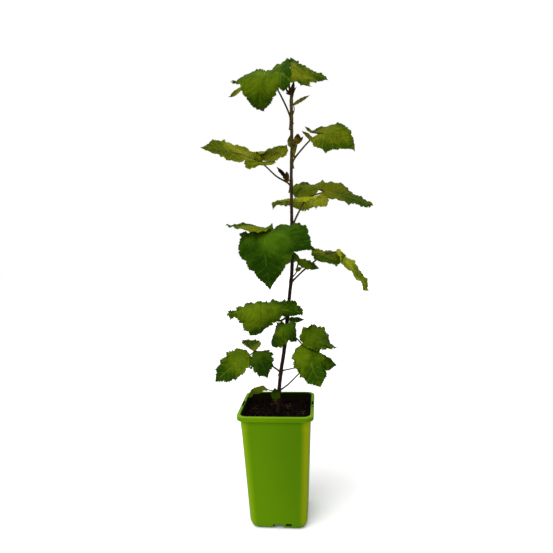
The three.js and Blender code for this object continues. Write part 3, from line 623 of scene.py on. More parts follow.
def cane_bristles():
    rng = random.Random(3)
    bm = bmesh.new()
    for _ in range(BRISTLES):
        along = rng.uniform(0.02, 0.995)
        place = round(along * CANE_STEPS)
        turn = rng.uniform(0, math.tau)
        out = Vector((math.cos(turn), math.sin(turn), -0.12)).normalized()
        long = rng.uniform(0.9, 2.3) * MM
        foot = cane_line[place] + out * (cane_radius(along) - 0.15 * MM)
        stand = out.to_track_quat("Z", "Y").to_matrix().to_4x4()
        middle = Matrix.Translation(foot + out * long / 2)
        bmesh.ops.create_cone(
            bm, cap_ends=True, segments=4, radius1=0.2 * MM, radius2=0.04 * MM, depth=long,
            matrix=middle @ stand,
        )
    return bm


def cane_bark(mix):
    height = mix.parts(mix.place())[2]
    streaks = mix.clouds(700, 3, 0.6, mix.stretched((1.0, 1.0, 0.08)))
    blotch = mix.clouds(90, 3, 0.6, mix.stretched((1.0, 1.0, 0.4)))
    green = streaks.share(0.35, 0.7).between(tone(38, 34, 2), tone(78, 70, 22))
    wood = streaks.share(0.35, 0.7).between(tone(18, 9, 8), tone(44, 25, 19))
    ripe = (height + 0.16 * (blotch - 0.5)).share(0.69, 0.52)
    colour = ripe.between((blotch.share(0.45, 0.7) * 0.6).between(green, tone(46, 26, 14)), wood)
    return colour, 0.42 + 0.2 * streaks, 0.0003 * streaks


def bristle_red(mix):
    height = mix.parts(mix.place())[2]
    colour = height.share(0.35, 0.65).between(tone(52, 24, 20), tone(96, 44, 30))
    return colour, 0.5, 0.0001 * mix.clouds(2000)


cane = made("cane", cane_wood(), [finish("cane_bark", cane_bark, **{"Specular IOR Level": 0.06})])
smoothed(cane, 60)
attach(cane, "cane", "cane")
bristles = made("cane_bristles", cane_bristles(), [finish("bristle_red", bristle_red, **dull)])
attach(bristles, "cane")


# Leaves
# Each leaf is a stalk from a knuckle of the cane with one lobed blade or a few leaflets. The blades
# are saw-toothed, sunk along their veins and puffed between them, darker above and paler below.

OUTLINE_ANGLES = [0, 6, 14, 26, 38, 50, 60, 70, 78, 88, 100, 116, 134, 152, 168, 180]
LOBED = [1, 0.885, 0.765, 0.665, 0.605, 0.565, 0.6, 0.76, 0.8, 0.63, 0.53, 0.47, 0.41, 0.32, 0.16, 0.04]
HEART = [1, 0.885, 0.775, 0.685, 0.64, 0.615, 0.605, 0.6, 0.58, 0.55, 0.52, 0.47, 0.41, 0.32, 0.16, 0.04]
OVATE = [1, 0.9, 0.775, 0.625, 0.505, 0.41, 0.345, 0.285, 0.24, 0.19, 0.145, 0.1, 0.07, 0.05, 0.04, 0.035]
# Main veins, in degrees from the midrib, of a leaflet, a lobed blade and a heart-shaped one.
MAIN_VEINS = {"ovate": (0,), "lobed": (0, 75, 128), "heart": (0, 44, 86, 130)}
SIDE_VEINS = 8.5
SLANT = 0.85
CURVE = 0.5
PLEAT = 0.014
VEIN_SINK = 0.005
BLADE_THICKNESS = 0.009
# Shortest length in mm, lobules on each side of a leaflet, and rings, of a large to a small blade.
BLADE_SIZES = [(60, 6, 19), (30, 5, 13), (0, 3, 8)]
LOBED_LOBULES = 1.5
LOBULE = 0.075
TOOTH = 0.03
LOBULE_TEETH = 4
TOOTH_SHAPE = (0.9, 0.25, 0.4, -0.5)
RUFFLE = 0.07
NIB_STEPS = 15
STALK_BESIDE = 2.4 * MM

# Places and lengths are in mm. A stalk leaves the cane at its root; where it hugs the cane, it
# starts that many mm lower and runs up beside it. Jagged is the depth of a blade's teeth, 1 being
# a usual leaf's.
LEAVES = [
    {
        "node": "leaf_top_left", "root": 702.6, "radius": 1.5, "hugs": (21, 10),
        "stalk": [(21.8, -14, 736.7), (11.4, -30, 751.4), (-3, -38, 763.6)],
        "blades": [
            {
                "kind": "lobed", "finish": "bright", "lobes": 1, "width": 1,
                "at": (-3, -38, 763.6), "length": 74, "turn": -112, "dip": 31, "roll": -15,
                "left": (22, 20, 11, 1.19), "right": (-8, -11, -65, 1.09),
                "bend": 53, "droop": 82, "back": -40, "twist": -36, "wave": 0.03, "jagged": 0.75,
            },
            {
                "kind": "ovate", "finish": "green", "lobes": 0, "width": 0.55,
                "at": (-38.5, -36.7, 743.8), "length": 28, "turn": 171, "dip": 35, "roll": -80,
                "left": (22, 0, 0, 1), "right": (22, 0, 0, 1),
                "bend": 0, "droop": -30, "back": 20, "twist": 0, "wave": 0.015, "jagged": 0.6,
            },
        ],
    },
    {
        "node": "leaf_top_right", "root": 730, "radius": 1.4, "hugs": (18, 9),
        "stalk": [(43, 17, 759.9), (39.7, 25, 784.5), (43.2, 30, 794.5)],
        "blades": [
            {
                "kind": "lobed", "finish": "green", "lobes": 1, "width": 1,
                "at": (43.2, 30, 794.5), "length": 71, "turn": 25, "dip": 6, "roll": 50,
                "left": (-15, 18, 0, 0.84), "right": (-14, 40, 0, 1.02),
                "bend": 0, "droop": 14, "back": 34, "twist": -1, "wave": 0.03, "jagged": 0.75,
            },
        ],
    },
    {
        "node": "leaf_upper_right", "root": 629, "radius": 1.5, "hugs": (12, 6),
        "stalk": [(55, -8, 648.4), (73.9, -15, 664), (92, -20, 669.1)],
        "blades": [
            {
                "kind": "lobed", "finish": "green", "lobes": 0, "width": 1,
                "at": (92, -20, 669.1), "length": 62, "turn": -11, "dip": 2, "roll": 17,
                "left": (29, -40, 0, 1.13), "right": (-24, -38, 0, 1.09),
                "bend": 0, "droop": 65, "back": 34, "twist": 40, "wave": 0.03, "jagged": 0.6,
            },
            {
                "kind": "ovate", "finish": "olive", "lobes": 0, "width": 0.46,
                "at": (73.2, -17, 660.1), "length": 24, "turn": -164, "dip": -42, "roll": -95,
                "left": (18, 0, 0, 1), "right": (18, 0, 0, 1),
                "bend": 0, "droop": 15, "back": 20, "twist": 0, "wave": 0.015, "jagged": 1,
            },
            {
                "kind": "ovate", "finish": "olive", "lobes": 0, "width": 0.5,
                "at": (72.5, -19, 672), "length": 16, "turn": -166, "dip": -40, "roll": -100,
                "left": (15, 0, 0, 1), "right": (15, 0, 0, 1),
                "bend": 0, "droop": 10, "back": 20, "twist": 0, "wave": 0.015, "jagged": 1,
            },
        ],
    },
    {
        "node": "leaf_upper_left", "root": 588.5, "radius": 1.5, "hugs": (12, 6),
        "stalk": [(9.5, -5, 606), (-5.2, -8, 620.5), (-15.7, -8, 629.9)],
        "blades": [
            {
                "kind": "ovate", "finish": "gold", "lobes": 0, "width": 1.1,
                "at": (-15.7, -8, 629.9), "length": 106, "turn": -165, "dip": -30, "roll": -28,
                "left": (16, 37, 40, 1), "right": (-21, -42, -16, 1),
                "bend": 9, "droop": 15, "back": 13, "twist": 36, "wave": 0.03, "jagged": 0.5,
            },
            {
                "kind": "ovate", "finish": "gold", "lobes": 0, "width": 1.2,
                "at": (-18.6, -6, 637.2), "length": 73, "turn": -36, "dip": -28, "roll": -19,
                "left": (6, -27, -21, 1), "right": (-19, 3, 19, 1),
                "bend": 38, "droop": -17, "back": -4, "twist": 7, "wave": 0.03, "jagged": 0.5,
            },
            {
                "kind": "ovate", "finish": "lemon", "lobes": 0, "width": 1.2,
                "at": (-9.3, -10, 624.2), "length": 63, "turn": -100, "dip": -22, "roll": -12,
                "left": (7, 24, 7, 1), "right": (-10, 7, 8, 1),
                "bend": 14, "droop": 55, "back": -23, "twist": -3, "wave": 0.03, "jagged": 0.8,
            },
        ],
    },
    {
        "node": "leaf_middle_right", "root": 520.5, "radius": 1.6, "hugs": (10, 5),
        "stalk": [(47.9, 5, 547.1), (62.5, 14, 568.5), (90.8, 22, 578.6)],
        "blades": [
            {
                "kind": "ovate", "finish": "green", "lobes": 0, "width": 1.2,
                "at": (90.8, 22, 578.6), "length": 96, "turn": 8, "dip": 3, "roll": 39,
                "left": (-1, 22, -1, 1), "right": (12, 22, 17, 1),
                "bend": 13, "droop": 17, "back": -27, "twist": -5, "wave": 0.03, "jagged": 0.6,
            },
            {
                "kind": "ovate", "finish": "green", "lobes": 0, "width": 1.2,
                "at": (81.9, 24, 583.6), "length": 80, "turn": 141, "dip": -31, "roll": -29,
                "left": (-15, -18, 0, 1), "right": (-21, 32, 4, 1),
                "bend": 35, "droop": -14, "back": -27, "twist": -5, "wave": 0.03, "jagged": 0.6,
            },
            {
                "kind": "ovate", "finish": "gold", "lobes": 0, "width": 1,
                "at": (84.9, 20, 571.7), "length": 125, "turn": 141, "dip": 2, "roll": -1,
                "left": (-9, 10, 7, 1), "right": (-29, -1, -6, 1),
                "bend": -11, "droop": 24, "back": 14, "twist": 5, "wave": 0.03, "jagged": 0.6,
            },
        ],
    },
    {
        "node": "leaf_heart", "root": 479.1, "radius": 1.7, "hugs": (10, 5),
        "stalk": [(22.7, -16, 500.3), (9.5, -34, 512.3), (1, -48, 511.7)],
        "blades": [
            {
                "kind": "lobed", "finish": "deep", "lobes": 0.4, "width": 1,
                "at": (1, -48, 511.7), "length": 107, "turn": -119, "dip": 28, "roll": -5,
                "left": (-2, -14, -51, 1.2), "right": (-9, 27, 7, 0.75),
                "bend": 73, "droop": 9, "back": 34, "twist": -21, "wave": 0.03, "jagged": 0.5,
            },
            {
                "kind": "ovate", "finish": "green", "lobes": 0, "width": 1,
                "at": (-2.4, -46, 514.9), "length": 82, "turn": 161, "dip": -15, "roll": -7,
                "left": (-10, 0, 0, 1), "right": (-10, 0, 0, 1),
                "bend": 0, "droop": 15, "back": 20, "twist": 0, "wave": 0.03, "jagged": 0.5,
            },
        ],
    },
    {
        "node": "leaf_lower_right", "root": 421.5, "radius": 1.6, "hugs": (),
        "stalk": [(52, -1, 443.2), (68.9, 0, 456.6), (89.8, 0, 472.1)],
        "blades": [
            {
                "kind": "lobed", "finish": "green", "lobes": 0, "width": 1,
                "at": (89.8, 0, 472.1), "length": 55, "turn": -74, "dip": 27, "roll": -32,
                "left": (16, 39, 53, 1.12), "right": (-22, -25, 2, 0.83),
                "bend": -10, "droop": 8, "back": 17, "twist": 4, "wave": 0.03, "jagged": 0.6,
            },
            {
                "kind": "ovate", "finish": "gold", "lobes": 0, "width": 1,
                "at": (111.3, -1, 473.2), "length": 88, "turn": 5, "dip": 49, "roll": 29,
                "left": (-14, -17, 14, 1), "right": (15, 15, -19, 1),
                "bend": -2, "droop": 6, "back": -6, "twist": 13, "wave": 0.03, "jagged": 0.5,
            },
        ],
    },
    {
        "node": "leaf_lower_left", "root": 361.7, "radius": 1.6, "hugs": (),
        "stalk": [(8.5, -9, 356.8), (-3.9, -28, 369.7), (-19.2, -42, 389.1)],
        "blades": [
            {
                "kind": "lobed", "finish": "bright", "lobes": 0.8, "width": 1,
                "at": (-19.2, -42, 389.1), "length": 81, "turn": -71, "dip": 19, "roll": -2,
                "left": (-12, 51, 8, 1.15), "right": (-25, 33, 47, 0.96),
                "bend": 74, "droop": 68, "back": 64, "twist": -40, "wave": 0.03, "jagged": 1.2,
            },
        ],
    },
    {
        "node": "leaf_centre", "root": 310, "radius": 1.5, "hugs": (),
        "stalk": [(23.4, -9, 326.3), (25.7, -22, 344.8), (28.4, -34, 357)],
        "blades": [
            {
                "kind": "ovate", "finish": "deep", "lobes": 0, "width": 1.3,
                "at": (28.4, -34, 357), "length": 43, "turn": -43, "dip": 46, "roll": 34,
                "left": (-39, -21, 2, 1), "right": (12, -19, 0, 1),
                "bend": 74, "droop": -8, "back": 0, "twist": -31, "wave": 0.015, "jagged": 1.3,
            },
            {
                "kind": "ovate", "finish": "bright", "lobes": 0, "width": 1.3,
                "at": (21, -34, 349.5), "length": 60, "turn": -170, "dip": 15, "roll": -47,
                "left": (-44, 5, 0, 1), "right": (-33, 33, 7, 1),
                "bend": 22, "droop": 72, "back": 19, "twist": 16, "wave": 0.03, "jagged": 1.3,
            },
            {
                "kind": "ovate", "finish": "deep", "lobes": 0, "width": 0.62,
                "at": (27.3, -14, 360.7), "length": 26, "turn": -14, "dip": 5, "roll": 95,
                "left": (20, 0, 0, 1), "right": (20, 0, 0, 1),
                "bend": 0, "droop": 35, "back": 20, "twist": 0, "wave": 0.015, "jagged": 1,
            },
        ],
    },
    {
        "node": "leaf_young_right", "root": 429.5, "radius": 1.1, "hugs": (),
        "stalk": [(40, -3, 441), (43.7, -6, 457.6)],
        "blades": [
            {
                "kind": "ovate", "finish": "bright", "lobes": 0, "width": 0.6,
                "at": (43.8, -6, 459.1), "length": 39, "turn": -13, "dip": 19, "roll": 90,
                "left": (-12, 0, 0, 1), "right": (-12, 0, 0, 1),
                "bend": 0, "droop": 4, "back": 20, "twist": 0, "wave": 0.015, "jagged": 1.2,
            },
            {
                "kind": "ovate", "finish": "deep", "lobes": 0, "width": 0.72,
                "at": (44, -6, 460.1), "length": 20, "turn": -136, "dip": -56, "roll": -135,
                "left": (10, 0, 0, 1), "right": (10, 0, 0, 1),
                "bend": 0, "droop": 6, "back": 20, "twist": 0, "wave": 0.015, "jagged": 1.3,
            },
            {
                "kind": "ovate", "finish": "green", "lobes": 0, "width": 1,
                "at": (39.5, -8, 444), "length": 12, "turn": -21, "dip": -24, "roll": 95,
                "left": (15, 0, 0, 1), "right": (15, 0, 0, 1),
                "bend": 0, "droop": 10, "back": 20, "twist": 0, "wave": 0.015, "jagged": 1.2,
            },
        ],
    },
    {
        "node": "leaf_three_left", "root": 262.9, "radius": 1.5, "hugs": (8, 4),
        "stalk": [(-5.4, -9, 275.5), (-22.4, -24, 293.2), (-36.7, -30, 305.7)],
        "blades": [
            {
                "kind": "ovate", "finish": "bright", "lobes": 0, "width": 1,
                "at": (-44.7, -30, 300.6), "length": 72, "turn": -148, "dip": 13, "roll": -28,
                "left": (4, -1, 5, 1), "right": (8, 14, -2, 1),
                "bend": 26, "droop": 6, "back": 13, "twist": -35, "wave": 0.03, "jagged": 1.5,
            },
            {
                "kind": "ovate", "finish": "shaded", "lobes": 0, "width": 1,
                "at": (-32.6, -30, 307.2), "length": 71, "turn": -70, "dip": -14, "roll": 7,
                "left": (-5, -12, -1, 1), "right": (-45, -32, 0, 1),
                "bend": 40, "droop": 6, "back": 8, "twist": 16, "wave": 0.03, "jagged": 1.4,
            },
            {
                "kind": "ovate", "finish": "green", "lobes": 0, "width": 1,
                "at": (-34.5, -30, 309.6), "length": 55, "turn": 113, "dip": 2, "roll": 4,
                "left": (29, 10, 13, 1), "right": (35, 6, -3, 1),
                "bend": -5, "droop": -15, "back": 26, "twist": -4, "wave": 0.03, "jagged": 1.3,
            },
        ],
    },
    {
        "node": "leaf_three_right", "root": 329.6, "radius": 1.5, "hugs": (8, 4),
        "stalk": [(36.6, -11, 326.6), (47.2, -21, 317.8)],
        "blades": [
            {
                "kind": "ovate", "finish": "bright", "lobes": 0, "width": 1,
                "at": (50.9, -22, 321.8), "length": 78, "turn": 23, "dip": -21, "roll": 30,
                "left": (37, -12, 5, 1), "right": (-4, -25, 1, 1),
                "bend": 11, "droop": 66, "back": -10, "twist": -5, "wave": 0.03, "jagged": 1.5,
            },
            {
                "kind": "ovate", "finish": "bright", "lobes": 0, "width": 1,
                "at": (49, -24, 315.7), "length": 83, "turn": -63, "dip": 33, "roll": 10,
                "left": (-13, -2, 0, 1), "right": (-26, -2, 3, 1),
                "bend": 17, "droop": -10, "back": -2, "twist": 6, "wave": 0.03, "jagged": 1.2,
            },
        ],
    },
    {
        "node": "leaf_foot_right", "root": 228.1, "radius": 1.3, "hugs": (),
        "stalk": [(19.3, 2, 239.5), (41.3, 3, 261.1), (59.4, 4, 278)],
        "blades": [
            {
                "kind": "ovate", "finish": "bright", "lobes": 0, "width": 1.1,
                "at": (63, 4, 279.8), "length": 44, "turn": -8, "dip": 7, "roll": 85,
                "left": (-8, 0, 0, 1), "right": (-8, 0, 0, 1),
                "bend": 0, "droop": 20, "back": 20, "twist": 0, "wave": 0.015, "jagged": 1.2,
            },
        ],
    },
    {
        "node": "leaf_foot_short", "root": 264.7, "radius": 1.2, "hugs": (),
        "stalk": [(23.7, 2, 267.8), (39.6, 6, 270.2)],
        "blades": [
            {
                "kind": "ovate", "finish": "bright", "lobes": 0, "width": 1,
                "at": (41.4, 6, 270.2), "length": 26, "turn": 11, "dip": -35, "roll": 85,
                "left": (10, 0, 0, 1), "right": (10, 0, 0, 1),
                "bend": 0, "droop": 20, "back": 20, "twist": 0, "wave": 0.015, "jagged": 1.2,
            },
        ],
    },
    {
        "node": "leaf_foot_left", "root": 211.6, "radius": 1.3, "hugs": (),
        "stalk": [(-3.8, 12, 221.2), (-21.6, 33.3, 219.2)],
        "blades": [
            {
                "kind": "ovate", "finish": "green", "lobes": 0, "width": 0.9,
                "at": (-21.6, 33.3, 219.2), "length": 46, "turn": 213, "dip": -32, "roll": -7,
                "left": (8.9, 0, 0, 1), "right": (8.9, 0, 0, 1),
                "bend": 39, "droop": 27, "back": 20, "twist": 0, "wave": 0.03, "jagged": 0.5,
            },
        ],
    },
    {
        "node": "leaf_foot_small", "root": 204.3, "radius": 1.1, "hugs": (),
        "stalk": [(-3.8, -9, 211.3), (-2, -8, 214.6)],
        "blades": [
            {
                "kind": "ovate", "finish": "shaded", "lobes": 0, "width": 1.2,
                "at": (-1.9, -8, 216.4), "length": 21, "turn": 136, "dip": -85, "roll": -35,
                "left": (10, 0, 0, 1), "right": (10, 0, 0, 1),
                "bend": 0, "droop": 60, "back": 20, "twist": 0, "wave": 0.015, "jagged": 1.7,
            },
        ],
    },
    {
        "node": "leaf_back_upper", "root": 468.7, "radius": 1.5, "hugs": (),
        "stalk": [(24.3, 22, 471.7), (7.6, 50, 476.7), (-0.3, 72, 470.5)],
        "blades": [
            {
                "kind": "lobed", "finish": "green", "lobes": 0.5, "width": 1,
                "at": (-0.3, 72, 470.5), "length": 78, "turn": 84, "dip": -14, "roll": 8,
                "left": (-12, 0, 0, 1), "right": (-12, 0, 0, 1),
                "bend": 0, "droop": 60, "back": 20, "twist": 0, "wave": 0.03, "jagged": 1,
            },
        ],
    },
    {
        "node": "leaf_back_lower", "root": 356.4, "radius": 1.4, "hugs": (),
        "stalk": [(14.7, 14, 364.8), (9.5, 34, 366.1), (6.3, 50, 367.3)],
        "blades": [
            {
                "kind": "lobed", "finish": "green", "lobes": 0.5, "width": 1,
                "at": (6.3, 50, 367.3), "length": 58, "turn": 104, "dip": -10, "roll": -6,
                "left": (-10, 0, 0, 1), "right": (-10, 0, 0, 1),
                "bend": 0, "droop": 55, "back": 20, "twist": 0, "wave": 0.03, "jagged": 1,
            },
        ],
    },
    {
        "node": "leaf_narrow_top", "root": 705.4, "radius": 1, "hugs": (14, 7),
        "stalk": [(43.2, -2, 714.6), (42.5, -3, 723.2)],
        "blades": [
            {
                "kind": "ovate", "finish": "olive", "lobes": 0, "width": 0.31,
                "at": (42.5, -3, 723.2), "length": 31, "turn": -12, "dip": -25, "roll": 95,
                "left": (30, 0, 0, 1), "right": (30, 0, 0, 1),
                "bend": 0, "droop": 18, "back": 20, "twist": 0, "wave": 0.015, "jagged": 0.4,
            },
        ],
    },
    {
        "node": "shoot_upper", "root": 637.5, "radius": 1.2, "hugs": (),
        "stalk": [(42.6, -3, 645), (46.9, -4, 658.5)],
        "blades": [
            {
                "kind": "ovate", "finish": "bronze", "lobes": 0, "width": 0.95,
                "at": (46.6, -4, 659.2), "length": 17, "turn": -125, "dip": -87, "roll": -165,
                "left": (34, 0, 0, 1), "right": (34, 0, 0, 1),
                "bend": 0, "droop": 28, "back": 20, "twist": 0, "wave": 0.015, "jagged": 1,
            },
            {
                "kind": "ovate", "finish": "bronze", "lobes": 0, "width": 0.8,
                "at": (47.3, -4, 658.8), "length": 18, "turn": -33, "dip": -72, "roll": 150,
                "left": (32, 0, 0, 1), "right": (32, 0, 0, 1),
                "bend": 0, "droop": 38, "back": 20, "twist": 0, "wave": 0.015, "jagged": 1,
            },
            {
                "kind": "ovate", "finish": "bronze", "lobes": 0, "width": 0.75,
                "at": (47.7, -5, 659.9), "length": 14, "turn": -28, "dip": -33, "roll": 130,
                "left": (28, 0, 0, 1), "right": (28, 0, 0, 1),
                "bend": 0, "droop": 25, "back": 20, "twist": 0, "wave": 0.015, "jagged": 1,
            },
            {
                "kind": "ovate", "finish": "olive", "lobes": 0, "width": 0.3,
                "at": (40.8, -4, 636.6), "length": 31, "turn": -58, "dip": -79, "roll": 150,
                "left": (40, 0, 0, 1), "right": (40, 0, 0, 1),
                "bend": 0, "droop": -6, "back": 20, "twist": 0, "wave": 0.015, "jagged": 0.3,
            },
        ],
    },
    {
        "node": "leaf_pale_small", "root": 643.9, "radius": 1, "hugs": (),
        "stalk": [(38.1, 7, 650.4), (36.5, 10, 656.1)],
        "blades": [
            {
                "kind": "ovate", "finish": "olive", "lobes": 0, "width": 0.95,
                "at": (36.5, 10, 656.1), "length": 22, "turn": 133, "dip": -80, "roll": -40,
                "left": (25, 0, 0, 1), "right": (25, 0, 0, 1),
                "bend": 0, "droop": 15, "back": 20, "twist": 0, "wave": 0.015, "jagged": 1,
            },
        ],
    },
    {
        "node": "shoot_left", "root": 596.9, "radius": 1.2, "hugs": (),
        "stalk": [(29.1, -6.5, 596.6)],
        "blades": [
            {
                "kind": "ovate", "finish": "dusky", "lobes": 0, "width": 0.42,
                "at": (28, -6, 598.4), "length": 29, "turn": -167, "dip": -55, "roll": -80,
                "left": (35, 0, 0, 1), "right": (35, 0, 0, 1),
                "bend": 0, "droop": 12, "back": 20, "twist": 0, "wave": 0.015, "jagged": 1,
            },
            {
                "kind": "ovate", "finish": "bronze", "lobes": 0, "width": 0.74,
                "at": (28.3, -7, 595.6), "length": 19, "turn": -121, "dip": -90, "roll": -145,
                "left": (32, 0, 0, 1), "right": (32, 0, 0, 1),
                "bend": 0, "droop": 22, "back": 20, "twist": 0, "wave": 0.015, "jagged": 1,
            },
            {
                "kind": "ovate", "finish": "dusky", "lobes": 0, "width": 0.6,
                "at": (27.5, -8, 596.5), "length": 17, "turn": -134, "dip": -62, "roll": -130,
                "left": (30, 0, 0, 1), "right": (30, 0, 0, 1),
                "bend": 0, "droop": 25, "back": 20, "twist": 0, "wave": 0.015, "jagged": 1,
            },
        ],
    },
]


def clamp(value, low, high):
    return max(low, min(high, value))


def side_outline(blade, reach, steps):
    """Half a blade's smooth margin, from its tip to its stalk, in shares of its length."""
    corners = []
    for i, angle in enumerate(OUTLINE_ANGLES):
        radius = OVATE[i]
        if blade["kind"] == "lobed":
            lobe = 1 + (reach - 1) * clamp((angle - 50) / 20, 0, 1) * clamp((180 - angle) / 30, 0, 1)
            radius = (LOBED[i] * blade["lobes"] + HEART[i] * (1 - blade["lobes"])) * lobe
        turn = math.radians(angle)
        corners.append((radius * math.cos(turn), radius * blade["width"] * math.sin(turn), 0))
    return smooth_line(corners, steps)


def toothed(margin, jagged, rng):
    """How far each point of a margin stands out: broad lobules, and the teeth on them, both
    pointing to the tip."""
    steps = LOBULE_TEETH * len(TOOTH_SHAPE)
    offsets = []
    for i in range(len(margin)):
        if i % steps == 0:
            lobule = LOBULE * rng.uniform(0.6, 1.15)
        if i % len(TOOTH_SHAPE) == 0:
            tooth = TOOTH * rng.uniform(0.55, 1.2)
        before, after = margin[max(i - 1, 0)], margin[min(i + 1, len(margin) - 1)]
        outward = Vector((after.y - before.y, before.x - after.x, 0)).normalized()
        fade = jagged * clamp((len(margin) - 1 - i) / 34, 0, 1)
        phase = i % steps / steps
        swell = lobule * (min(phase * 5, 1) * (1 - phase) - 0.35) * fade * clamp(i / 36, 0, 1)
        bite = tooth * TOOTH_SHAPE[i % len(TOOTH_SHAPE)] * fade * clamp(i / 14, 0, 1)
        offsets.append((outward * swell, outward * bite))
    return offsets


def bent_line(slope_at):
    """Walks a line whose slope changes along it: its run and rise at any distance."""
    steps = 52
    reach = 1.3
    table = [(0.0, 0.0)]
    for i in range(1, steps + 1):
        before, after = slope_at(reach * (i - 1) / steps), slope_at(reach * i / steps)
        run, rise = table[-1]
        half = reach / steps / 2
        run += (math.cos(before) + math.cos(after)) * half
        rise += (math.sin(before) + math.sin(after)) * half
        table.append((run, rise))

    def at(distance):
        place = min(distance / reach * steps, steps - 1e-6)
        low = int(place)
        share = place - low
        return [table[low][k] * (1 - share) + table[low + 1][k] * share for k in (0, 1)]

    return at


def bent_blade(blade):
    """A blade's surface: its sides fold and curl, it twists, and it bends down along its midrib."""

    def side(fold, curl, lobe_curl, _):
        return bent_line(
            lambda a: math.radians(fold) * clamp(a / 0.08, 0, 1)
            + math.radians(curl) * a
            + math.radians(lobe_curl) * max(a - 0.3, 0)
        )

    left, right = side(*blade["left"]), side(*blade["right"])

    def front_slope(s):
        return math.radians(blade["bend"]) * clamp(s / 0.35, 0, 1) + math.radians(blade["droop"]) * s

    def back_slope(s):
        return math.radians(blade["back"]) * s

    front, back = bent_line(front_slope), bent_line(back_slope)
    roll, dip, turn = (math.radians(blade[k]) for k in ("roll", "dip", "turn"))
    stance = Euler((roll, dip, turn), "XYZ").to_matrix().to_4x4()
    frame_at = Matrix.Translation(Vector(blade["at"]) * MM) @ stance @ Matrix.Scale(blade["length"] * MM, 4)

    def at(u, v):
        y, z = (right if v < 0 else left)(abs(v))
        y = math.copysign(y, v)
        z += blade["wave"] * (u * u + v * v) * math.sin(7 * math.atan2(v, u) + blade["turn"])
        twist = math.radians(blade["twist"]) * max(u, 0)
        y, z = y * math.cos(twist) - z * math.sin(twist), y * math.sin(twist) + z * math.cos(twist)
        if u >= 0:
            (run, drop), slope = front(u), front_slope(u)
        else:
            (run, drop), slope = back(-u), -back_slope(-u)
            run = -run
        return frame_at @ Vector((run + z * math.sin(slope), y, -drop + z * math.cos(slope)))

    return at


def vein_kind(blade):
    if blade["kind"] == "ovate":
        return "ovate"
    return "lobed" if blade["lobes"] > 0.3 else "heart"


def on_veins(blade, u, v, beside=None):
    """Where a point lies on the nearest main vein: how far along it, and how far to its side."""
    near_u, near_v = beside or (u, v)
    angle = math.degrees(math.atan2(abs(near_v), near_u))
    vein = math.radians(min(MAIN_VEINS[vein_kind(blade)], key=lambda a: abs(angle - a)))
    v = v if near_v >= 0 else -v
    along = u * math.cos(vein) + v * math.sin(vein)
    across = v * math.cos(vein) - u * math.sin(vein)
    return along + 0.022 * noise.noise(Vector((u * 5, v * 5, blade["turn"]))), across


def ruffled(blade, u, v, reach):
    """How far the blade's margin waves up and down, as a share of its length."""
    wave = noise.noise(Vector((u * 6, v * 6, blade["turn"] + 0.5)))
    wave += 0.5 * noise.noise(Vector((u * 13, v * 13, blade["dip"] + 0.5)))
    return RUFFLE * wave * reach**2.5


def puffed(along, across):
    """The blade's relief, as a share of its length: veins sunk, and the blade puffed between."""
    side = abs(across)
    veins = SIDE_VEINS * (along - SLANT * side + CURVE * side * side)
    puff = abs(math.sin(math.pi * veins)) ** 0.8
    return PLEAT * (puff - 0.5) * min(side / 0.08, 1) - VEIN_SINK * math.exp(-((side / 0.016) ** 2))


def blade_skin(blade, rng):
    """One blade: a spun disc drawn out to the margin, bent, puffed and given its thickness."""
    _, lobules, rings = next(size for size in BLADE_SIZES if blade["length"] >= size[0])
    if blade["kind"] == "lobed":
        lobules = round(lobules * LOBED_LOBULES)
    steps = lobules * LOBULE_TEETH * len(TOOTH_SHAPE)
    turns = 2 * steps
    reaches = [(i / rings) ** 0.8 for i in range(rings)] + [1]
    bm, row = spun([(reach, 0) for reach in reaches], turns)
    if bm.faces[0].normal.z < 0:
        bmesh.ops.reverse_faces(bm, faces=bm.faces)
    margins = [side_outline(blade, blade[side][3], steps) for side in ("left", "right")]
    offsets = [toothed(margin, blade["jagged"], rng) for margin in margins]
    thick = bm.verts.layers.deform.verify()
    for vert in bm.verts:
        column = turn_of(vert.co, turns)
        side = 0 if column <= steps else 1
        place = column if side == 0 else turns - column
        reach = reaches[vert[row]]
        lobule, tooth = offsets[side][place]
        flat = margins[side][place] * reach
        flat.y *= min(1, 0.4 + 0.6 * place / NIB_STEPS)
        flat += lobule * reach**3 + tooth * reach**9
        vert.co = (flat.x, flat.y * (1, -1)[side], 0)
        vert[thick][0] = 1 - 0.55 * reach**4
    veins = bm.loops.layers.uv.new("veins")
    for face in bm.faces:
        beside = face.calc_center_median().xy
        for loop in face.loops:
            loop[veins].uv = on_veins(blade, *loop.vert.co.xy, beside)
    surface = bent_blade(blade)
    relief = {}
    for vert in bm.verts:
        u, v = vert.co.xy
        reach = reaches[vert[row]]
        relief[vert] = (puffed(*on_veins(blade, u, v)) + ruffled(blade, u, v, reach)) * blade["length"] * MM
        vert.co = surface(u, v)
    bm.normal_update()
    for vert, height in relief.items():
        vert.co += vert.normal * height
    skin = made("blade", bm)
    skin.vertex_groups.new(name="thick")
    shell = skin.modifiers.new("thickness", "SOLIDIFY")
    shell.thickness = BLADE_THICKNESS * blade["length"] * MM
    shell.offset = 0
    shell.vertex_group = "thick"
    shell.material_offset = 1
    shell.material_offset_rim = 0
    return settled(skin)


